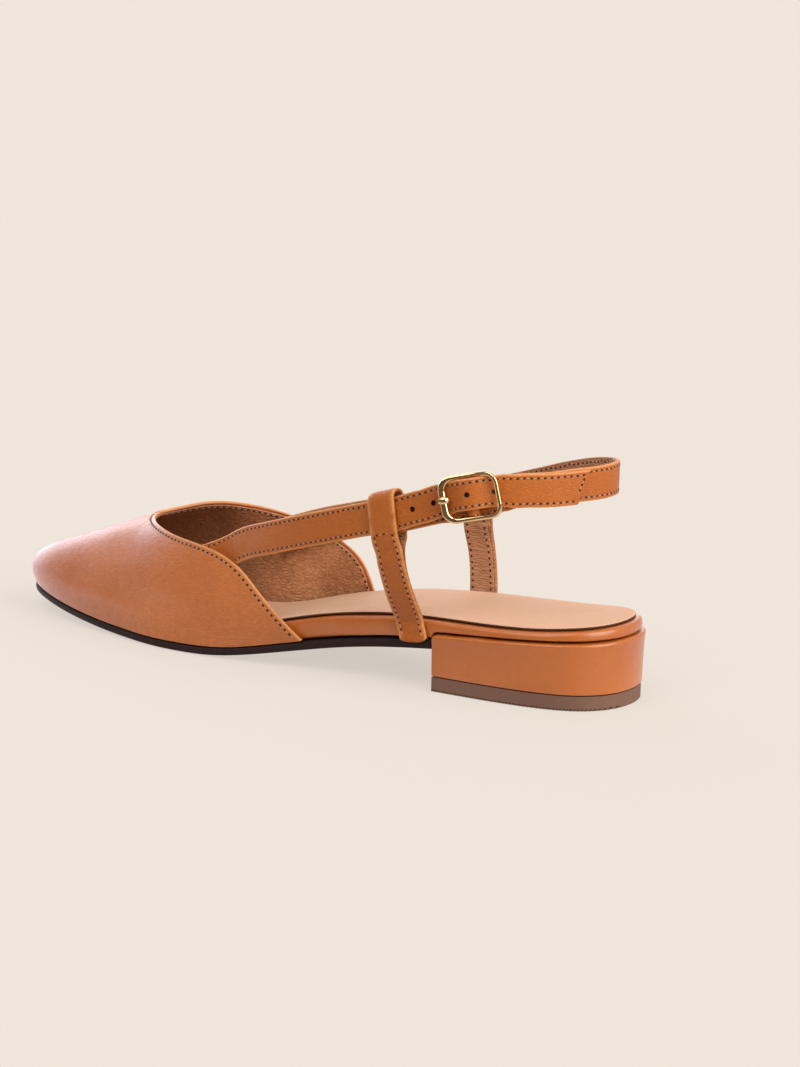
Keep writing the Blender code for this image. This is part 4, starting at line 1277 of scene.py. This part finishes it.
def draw_foot_down(strap, outside, reach=2.2, drop=1.3, out=0.35):
    """Draws a side strap's foot down over the outsole's side, rounding its lower corners."""
    foot = min(vert.co.z for vert in strap.data.vertices)
    low = [vert for vert in strap.data.vertices if vert.co.z < foot + 2 * MM]
    left, right = min(v.co.x for v in low), max(v.co.x for v in low)
    for vert in strap.data.vertices:
        share = 1 - ramp((vert.co.z - foot) / MM, 0.0, reach)
        if share > 0:
            across = min(max((2 * vert.co.x - left - right) / (right - left), -1.0), 1.0)
            vert.co.z -= drop * MM * share * (1 - 0.6 * across**4)
            vert.co.y += math.copysign(out * MM * share, outside)


def make_side_strap(side):
    """A side strap with its lining, folded round what it carries and sewn below the loop."""
    settings = bpy.context.scene.slingback_stitching
    node_name = "side_strap_" + side
    strap = copy_node(node_name, "side_loop_" + side)
    low, high = (Vector(corner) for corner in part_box(node_name))
    outside = low.y if side == "lateral" else high.y
    inward = Vector((0, -math.copysign(1, outside), 0))
    select_region(strap, Vector(((low.x + high.x) / 2, outside, (low.z + high.z) / 2)), 36.0)
    bpy.ops.object.mode_set(mode="OBJECT")
    rungs = strip_rungs(strap)
    paint(strap, "strap_lining", "strap_calf")
    bpy.ops.object.mode_set(mode="EDIT")
    bpy.ops.mesh.select_more(use_face_step=False)
    bpy.ops.mesh.select_more(use_face_step=False)
    bpy.ops.object.mode_set(mode="OBJECT")
    peak_at = max(range(len(rungs)), key=lambda k: rungs[k][0].z)
    middles = points_tree([(a + b) / 2 for a, b in rungs])
    for face in strap.data.polygons:
        front = face.select and middles.find(face.center)[1] <= peak_at + 1
        face.material_index = 1 if front else 0
    subdivide(strap, 2)
    press_folded_end(strap, rungs, peak_at, inward)
    draw_foot_down(strap, outside)
    lining = inner_layer(inward, rungs)
    after = rungs[1:] + rungs[-1:]
    rims = points_tree([
        start.lerp(end, k / 6)
        for rung, ahead in zip(rungs, after) for k in range(6) for start, end in zip(rung, ahead)
    ])

    # The rims up to the loop's peak are painted lighter: partly rubbed, partly a painted highlight
    # on the turned edge.
    def rubbed_and_highlit(vert):
        if middles.find(vert.co)[1] > peak_at + 2:
            return 0.0
        return 1 - ramp(rims.find(vert.co)[2] / MM, 0.3, 0.9)

    mark_edge(strap, rubbed_and_highlit)
    join(strap, lining)
    smooth(strap, 50)
    dress(strap, "tan_leather", node_name)

    inset, level = settings.inset * 0.85, rungs[peak_at][0].z - settings.side_row
    rows = [[], []]
    for k in range(1 + next(k for k, (a, _) in enumerate(rungs) if a.z > level)):
        a, b = drawn_down(rungs, k, level)
        across = (b - a).normalized() * inset
        rows[0].append(a + across)
        rows[1].append(b - across)
    rows.append([rows[0][-1].lerp(rows[1][-1], k / 8) for k in range(9)])
    sew_through(node_name + "_stitching", tree_of(strap), rows, 0.9, 8.0)


# ---------------------------------------------------------------- buckle


def rounded_outline(length, height, corner, shift, steps=9, straight=14):
    """Places round a rectangle with rounded corners, in the layout's X and Z."""
    places = []
    for turn, (side_x, side_z) in enumerate(((1, 1), (-1, 1), (-1, -1), (1, -1))):
        x = shift + side_x * (length / 2 - corner)
        z = side_z * (height / 2 - corner)
        for k in range(steps + 1):
            angle = math.radians(90 * (turn + k / steps))
            places.append((x + corner * math.cos(angle), z + corner * math.sin(angle)))
    outline = []
    for k, (x, z) in enumerate(places):
        outline.append((x, z))
        if k % (steps + 1) == steps:
            next_x, next_z = places[(k + 1) % len(places)]
            outline += [
                (x + (next_x - x) * j / straight, z + (next_z - z) * j / straight)
                for j in range(1, straight)
            ]
    return outline


def round_rails(outer, inner, depth, fullness=0.72, sides=20):
    """A closed ring with a rounded section between two outlines."""
    points = []
    for (x, z), (in_x, in_z) in zip(outer, inner):
        for k in range(sides):
            angle = 2 * math.pi * (k + 0.5) / sides
            across, out = (
                math.copysign(abs(part) ** fullness, part)
                for part in (math.cos(angle), math.sin(angle))
            )
            share = (1 + across) / 2
            points.append((in_x + (x - in_x) * share, depth / 2 * out, in_z + (z - in_z) * share))
    faces = []
    for ring in range(len(outer)):
        here, ahead = ring * sides, (ring + 1) % len(outer) * sides
        for k in range(sides):
            beside = (k + 1) % sides
            faces.append((here + k, here + beside, ahead + beside, ahead + k))
    made = new_mesh("buckle_rails", points, faces)
    edit(made, face_outwards)
    return made


def make_frame():
    """The buckle's frame with its bar."""
    settings = bpy.context.scene.slingback_buckle
    length, height, end_rail, far_rail, rail, ahead = (
        getattr(settings, key) / MM
        for key in ("length", "height", "end_rail", "far_rail", "rail", "ahead")
    )
    opening = (length - end_rail - far_rail, height - 2 * rail)
    frame_ring = round_rails(
        rounded_outline(length, height, OUTER_CORNER, 0.0),
        rounded_outline(*opening, INNER_CORNER, (end_rail - far_rail) / 2),
        RAIL_DEPTH,
    )
    for vert in frame_ring.data.vertices:
        vert.co.x += ahead
        vert.co.y -= FRAME_OUT + FRAME_CURVE * (vert.co.x / FRAME_ALONG) ** 2
    bar = add(
        bpy.ops.mesh.primitive_cylinder_add, vertices=24, radius=BAR_RADIUS,
        depth=height - BAR_SHORTER,
    )
    join(frame_ring, bar)
    settle(frame_ring)
    smooth(frame_ring, 45)
    paint(frame_ring, "pale_brass")
    dress(frame_ring, "buckle_brass", "buckle_frame")


def make_prong():
    """The prong with its ring round the bar."""
    data = bpy.data.curves.new("prong_section", "CURVE")
    data.dimensions = "2D"
    line = data.splines.new("POLY")
    line.points.add(len(PRONG_SECTION) - 1)
    for point, (out, across) in zip(line.points, PRONG_SECTION):
        point.co = (out, across, 0, 1)
    line.use_cyclic_u = True
    section = new_object("prong_section", data)
    places = [(along, -out, PRONG_LIFT) for along, out in PRONG_PATH]
    prong = new_curve("buckle_pin", places, 8)
    prong.data.bevel_mode = "OBJECT"
    prong.data.bevel_object = section
    prong.data.use_fill_caps = True
    prong.data.splines[0].bezier_points[-1].radius = PRONG_POINT
    bpy.ops.object.convert(target="MESH")
    prong = bpy.context.object
    bpy.data.objects.remove(section, do_unlink=True)
    edit(prong, lambda: bpy.ops.mesh.remove_doubles(threshold=0.001), face_outwards)
    ring = add(
        bpy.ops.mesh.primitive_torus_add, major_segments=28, minor_segments=10,
        major_radius=1.5, minor_radius=0.42,
    )
    edit(ring, lambda: bpy.ops.transform.resize(value=(1, 1, 2.2)))
    join(prong, ring)
    settle(prong)
    smooth(prong, 50)
    paint(prong, "pale_brass")
    dress(prong, "buckle_brass", "buckle_prong")


# ---------------------------------------------------------------- stage


def direction(azimuth, elevation):
    """Out from the shoe: the azimuth turns from -Y towards +X, the elevation rises from level."""
    level = math.cos(elevation)
    return Vector(
        (math.sin(azimuth) * level, -math.cos(azimuth) * level, math.sin(elevation))
    )


def make_stage():
    settings = bpy.context.scene.slingback_stage
    make_floor(settings)
    make_world(settings)
    # Each soft light's strength, spread, azimuth and elevation in degrees, and tint.
    for name, energy, spread, azimuth, elevation, tint in (
        ("key_light", settings.key, 50.0, -8.0, 48.0, (1.0, 0.97, 0.93)),
        ("side_light", settings.side, 60.0, 78.0, 25.0, (1.0, 0.95, 0.88)),
        ("back_light", settings.back, 50.0, -142.0, 22.0, (1.0, 0.92, 0.86)),
        ("toe_light", settings.toe, 44.0, -116.0, 3.0, (0.80, 0.83, 1.0)),
    ):
        back = direction(math.radians(azimuth), math.radians(elevation))
        light = add(bpy.ops.object.light_add, type="SUN", location=back)
        light.name = name
        light.rotation_euler = back.to_track_quat("Z", "Y").to_euler()
        light.data.energy = energy
        light.data.angle = math.radians(spread)
        light.data.color = tint
    add_camera(settings)


def make_floor(settings):
    """A wide sheet of paper: it glows a little, and leather and brass see its parts differently."""
    floor = add(bpy.ops.mesh.primitive_circle_add, vertices=128, radius=40.0, fill_type="NGON")
    floor.name = "studio_floor"
    edit(floor, lambda: bpy.ops.transform.translate(value=(0, 0, -0.1 * MM)))
    look, tree, shader, place = new_material("studio_paper", Roughness=1.0, Specular_IOR_Level=0.0)
    paper = colour(settings.paper)
    shade = blend(tree, noise(tree, place, 2.0), colour(settings.paper, 0.998), paper)
    lead(tree, shader, Base_Color=shade)
    bounced = node(tree, "ShaderNodeLightPath").outputs["Is Diffuse Ray"]
    strength = stretch(tree, bounced, 0.0, 1.0, settings.paper_glow, settings.paper_bounce)
    glow = node(tree, "ShaderNodeEmission", {"Color": shade, "Strength": strength})
    paper_shader = tree.nodes["Principled BSDF"].outputs[0]
    lit = mix_shaders(tree, settings.paper_share, glow.outputs[0], paper_shader)
    mirrored = node(tree, "ShaderNodeLightPath").outputs["Is Glossy Ray"]
    far = stretch(tree, axes_of(tree, place)["Y"], -0.10, -0.20)
    along = axes_of(tree, place)["X"]
    toe_side = stretch(tree, along, -0.05, -0.17)
    brighter = stretch(tree, along, -0.05, -0.17, 1.0, settings.toe_glow)
    near = blend(tree, toe_side, colour(settings.paper_near), colour(settings.paper_toe))
    seen = blend(tree, far, near, colour(settings.paper_mirrored))
    dull = node(tree, "ShaderNodeEmission", {"Color": seen, "Strength": brighter})
    mix = mix_shaders(tree, mirrored, lit, dull.outputs[0])
    lead(tree, tree.nodes["Material Output"].inputs, Surface=mix)
    floor.data.materials.append(look)


def mix_shaders(tree, share, first, second):
    return node(tree, "ShaderNodeMixShader", {0: share, 1: first, 2: second}).outputs[0]


def make_world(settings):
    """The room's light: cooler and stronger by the toe, weaker from low before the shoe."""
    world = bpy.data.worlds.new("studio")
    bpy.context.scene.world = world
    world.use_nodes = True
    tree = world.node_tree
    tree.nodes.clear()
    seen = node(tree, "ShaderNodeBackground", {"Color": colour(settings.paper), "Strength": 1.0})
    sides = axes_of(tree, node(tree, "ShaderNodeTexCoord").outputs["Generated"])
    low_left = maths(tree, "ADD", sides["X"], times(tree, sides["Z"], 0.9))
    left = stretch(tree, low_left, 0.9, -0.9)
    stronger = stretch(tree, low_left, 0.1, -0.8, 1.0, settings.fill_left)
    tint = blend(tree, left, colour(settings.fill_warm), colour(settings.fill_cool))
    behind = maths(tree, "MULTIPLY_ADD", sides["Y"], BACKDROP_LEAN)
    tree.links.new(sides["Z"], behind.node.inputs[2])
    lift = stretch(tree, behind, -0.15, 0.55, settings.dark * settings.fill, settings.fill)
    lit = node(
        tree, "ShaderNodeBackground", {"Color": tint, "Strength": times(tree, lift, stronger)}
    )
    camera_ray = node(tree, "ShaderNodeLightPath").outputs["Is Camera Ray"]
    mix = mix_shaders(tree, camera_ray, lit.outputs[0], seen.outputs[0])
    node(tree, "ShaderNodeOutputWorld", {"Surface": mix})


def add_camera(settings):
    back, roll = direction(settings.azimuth, settings.elevation), settings.roll
    right = (-back).cross(Vector((0, 0, 1))).normalized()
    up = right.cross(-back)
    across = right * math.cos(roll) + up * math.sin(roll)
    upright = -right * math.sin(roll) + up * math.cos(roll)
    bpy.ops.object.camera_add()
    camera = bpy.context.object
    camera.name = "studio_camera"
    turn = Matrix((across, upright, back)).transposed().to_4x4()
    centre = Vector(CAMERA_AIM) + back * settings.distance
    camera.matrix_world = Matrix.Translation(centre) @ turn
    camera.data.lens = settings.lens
    camera.data.sensor_fit = "AUTO"
    camera.data.sensor_width = 36.0
    camera.data.shift_x, camera.data.shift_y = CAMERA_SHIFT
    camera.data.clip_start = 0.05
    camera.data.clip_end = 100.0
    bpy.context.scene.camera = camera


# ---------------------------------------------------------------- settings


def colour_of(label, text, value):
    return FloatVectorProperty(
        name=label, description=text, subtype="COLOR", size=3, min=0.0, max=1.0, default=value
    )


def number_of(label, text, value, **more):
    return FloatProperty(name=label, description=text, default=value, **more)


def length_of(label, text, value):
    return number_of(label, text, value * MM, min=0.0, unit="LENGTH", precision=4)


def angle_of(label, text, value):
    return number_of(label, text, math.radians(value), subtype="ANGLE")


class SlingbackColours(bpy.types.PropertyGroup):
    tan: colour_of("Tan", "The upper's leather", (0.57, 0.170, 0.032))
    tan_deep: colour_of("Tan in creases", "Where the leather is darker", (0.33, 0.078, 0.010))
    # The edge colour: partly rubbing, partly a painted highlight on rolled edges.
    tan_edge_wear_and_highlight: colour_of("Tan at edges", "Where an edge is rubbed and painted with a highlight", (0.78, 0.36, 0.13))
    strap: colour_of("Strap", "The straps' leather", (0.48, 0.130, 0.013))
    cover: colour_of("Heel cover", "The leather on the heel and the rand", (0.51, 0.140, 0.018))
    lining: colour_of("Lining", "The pigskin lining", (0.93, 0.45, 0.23))
    lining_deep: colour_of("Lining in folds", "Where the lining is darker", (0.25, 0.078, 0.022))
    lining_light: colour_of("Lining at edges", "The lining's raw edge", (0.80, 0.50, 0.36))
    insole: colour_of("Insole", "The sock's nude leather", (0.71, 0.435, 0.295))
    insole_deep: colour_of("Insole in creases", "Where the sock is darker", (0.54, 0.315, 0.20))
    insole_light: colour_of("Insole at edges", "Where the sock is lighter", (0.70, 0.46, 0.32))
    cut_edge: colour_of("Cut edge", "The sock's dark cut edge", (0.075, 0.028, 0.014))
    sole: colour_of("Outsole", "The outsole and its edge", (0.024, 0.011, 0.010))
    sole_light: colour_of("Outsole rubbed", "The outsole's rubbed edge", (0.09, 0.05, 0.04))
    rubber: colour_of("Top piece", "The rubber under the heel", (0.19, 0.095, 0.062))
    thread: colour_of("Thread", "The stitches", (0.54, 0.26, 0.14))
    # Near-black, for the needle holes and the punched holes' walls and floors: painted shade.
    hole: colour_of("Holes", "Needle holes and punched holes", (0.030, 0.010, 0.005))
    brass: colour_of("Brass", "The buckle", (0.93, 0.70, 0.38))


class SlingbackStitching(bpy.types.PropertyGroup):
    pitch: length_of("Pitch", "From one stitch to the next", 2.3)
    length: length_of("Stitch length", "The thread that shows", 1.4)
    inset: length_of("Inset", "From the topline to its stitches", 1.65)
    side_row: length_of("Side strap row", "From the loop's top to the row below it", 14.4)
    slant: number_of("Slant", "A stitch's turn from its row, in degrees", 7.0)


class SlingbackStrap(bpy.types.PropertyGroup):
    hole: length_of("Hole radius", "The punched holes", 0.95)
    prong_hole: length_of("Prong hole radius", "The hole that the prong comes through", 0.85)


class SlingbackBuckle(bpy.types.PropertyGroup):
    length: length_of("Length", "The frame along the strap", 21.2)
    ahead: length_of("Ahead", "How far the frame's middle lies past its bar", 0.4)
    height: length_of("Height", "The frame across the strap", 16.3)
    end_rail: length_of("End rail", "The width of the rail under the prong's point", 2.3)
    far_rail: length_of("Far rail", "The width of the rail at the other end", 1.7)
    rail: length_of("Long rail", "The width of the rails along the strap", 1.7)


class SlingbackTread(bpy.types.PropertyGroup):
    pitch: length_of("Pitch", "From one groove to the next", 1.1)
    groove: length_of("Depth", "The depth of a groove", 0.8)
    groove_width: length_of("Width", "The width of a groove", 0.5)


class SlingbackStage(bpy.types.PropertyGroup):
    paper: colour_of("Paper", "The floor and background", (0.871, 0.799, 0.723))
    paper_near: colour_of(
        "Paper, near", "The floor round the shoe as leather and brass reflect it",
        (0.80, 0.72, 0.70),
    )
    paper_toe: colour_of(
        "Paper, toe side", "The floor beyond the toe as they reflect it", (0.92, 0.87, 1.0)
    )
    toe_glow: number_of("Toe glow", "How much brighter that floor is", 2.4)
    paper_mirrored: colour_of(
        "Paper, far", "The floor in front, farther off, as they reflect it", (0.16, 0.10, 0.07)
    )
    paper_glow: number_of("Paper glow", "The floor's own light", 0.89)
    paper_bounce: number_of("Paper bounce", "The floor's light on the shoe", 0.68)
    paper_share: number_of("Paper share", "The share of the floor that takes shadows", 0.20)
    fill_warm: colour_of(
        "Fill, heel side", "The room's light from the heel's side", (1.0, 0.95, 0.9)
    )
    fill_cool: colour_of(
        "Fill, toe side", "The room's light from the toe's side", (0.83, 0.87, 1.0)
    )
    fill: number_of("Fill", "The room's light", 0.62, min=0.0)
    fill_left: number_of("Fill, toe side, more", "How much brighter the room is by the toe", 1.6)
    dark: number_of("Dark side", "The share of that light from low before the shoe", 0.12)
    key: number_of("Key", "The key light", 1.35, min=0.0)
    side: number_of("Side", "The light from the heel's side", 3.4, min=0.0)
    back: number_of("Back", "The light from behind the toe", 0.45)
    toe: number_of("Toe", "The cool light from beside the toe", 1.8)
    azimuth: angle_of("Azimuth", "The camera's turn round the shoe", 30.7)
    elevation: angle_of("Elevation", "The camera's height angle", 12.7)
    roll: angle_of("Roll", "The camera's roll", 1.22)
    distance: number_of("Distance", "From the shoe to the camera", 1.301, unit="LENGTH")
    lens: number_of("Lens", "The camera's focal length in millimetres", 123.7)


# ---------------------------------------------------------------- operators


class SLINGBACK_OT_sole(bpy.types.Operator):
    """Makes the outsole, the wrapped midsole and the insole"""

    bl_idname = "slingback.sole"
    bl_label = "Sole"

    def execute(self, context):
        make_outsole_and_midsole()
        make_insole()
        return {"FINISHED"}


class SLINGBACK_OT_heel(bpy.types.Operator):
    """Makes the covered heel and its rubber top piece"""

    bl_idname = "slingback.heel"
    bl_label = "Heel"

    def execute(self, context):
        make_heel_block()
        make_top_piece()
        return {"FINISHED"}


class SLINGBACK_OT_upper(bpy.types.Operator):
    """Makes the upper, its lining and its stitching"""

    bl_idname = "slingback.upper"
    bl_label = "Upper"

    def execute(self, context):
        make_upper()
        return {"FINISHED"}


class SLINGBACK_OT_straps(bpy.types.Operator):
    """Makes the free end and the heel strap"""

    bl_idname = "slingback.straps"
    bl_label = "Heel strap and free end"

    def execute(self, context):
        make_billet()
        make_heel_strap()
        return {"FINISHED"}


class SLINGBACK_OT_side_straps(bpy.types.Operator):
    """Makes the two side straps with their loops"""

    bl_idname = "slingback.side_straps"
    bl_label = "Side straps"

    def execute(self, context):
        make_side_strap("lateral")
        make_side_strap("medial")
        return {"FINISHED"}


class SLINGBACK_OT_buckle(bpy.types.Operator):
    """Makes the buckle's frame and prong"""

    bl_idname = "slingback.buckle"
    bl_label = "Buckle"

    def execute(self, context):
        make_frame()
        make_prong()
        return {"FINISHED"}


class SLINGBACK_OT_stage(bpy.types.Operator):
    """Makes the floor, the lights and the camera"""

    bl_idname = "slingback.stage"
    bl_label = "Stage"

    def execute(self, context):
        make_stage()
        return {"FINISHED"}


class SLINGBACK_PT_panel(bpy.types.Panel):
    bl_label = "Slingback ballet flat"
    bl_space_type = "VIEW_3D"
    bl_region_type = "UI"
    bl_category = "Slingback"

    def draw(self, context):
        for operator in OPERATORS:
            self.layout.operator(operator.bl_idname)
        for name in GROUPS:
            box = self.layout.box()
            group = getattr(context.scene, name)
            for key in group.__annotations__:
                box.prop(group, key)


GROUPS = {
    "slingback_colours": SlingbackColours,
    "slingback_stitching": SlingbackStitching,
    "slingback_strap": SlingbackStrap,
    "slingback_buckle": SlingbackBuckle,
    "slingback_tread": SlingbackTread,
    "slingback_stage": SlingbackStage,
}
OPERATORS = (
    SLINGBACK_OT_sole, SLINGBACK_OT_heel, SLINGBACK_OT_upper, SLINGBACK_OT_straps,
    SLINGBACK_OT_side_straps, SLINGBACK_OT_buckle, SLINGBACK_OT_stage,
)


def register():
    for name, group in GROUPS.items():
        bpy.utils.register_class(group)
        setattr(bpy.types.Scene, name, PointerProperty(type=group))
    for operator in OPERATORS:
        bpy.utils.register_class(operator)
    bpy.utils.register_class(SLINGBACK_PT_panel)


def unregister():
    bpy.utils.unregister_class(SLINGBACK_PT_panel)
    for operator in reversed(OPERATORS):
        bpy.utils.unregister_class(operator)
    for name, group in reversed(list(GROUPS.items())):
        delattr(bpy.types.Scene, name)
        bpy.utils.unregister_class(group)


def main():
    register()
    bpy.ops.object.select_all(action="DESELECT")
    bpy.context.scene.view_settings.view_transform = "Standard"
    bpy.ops.slingback.sole()
    bpy.ops.slingback.heel()
    bpy.ops.slingback.upper()
    bpy.ops.slingback.straps()
    bpy.ops.slingback.side_straps()
    bpy.ops.slingback.buckle()
    bpy.ops.slingback.stage()
    line = bpy.data.objects["strap_line"]
    bpy.data.objects.remove(line, do_unlink=True)


if __name__ == "__main__":
    main()
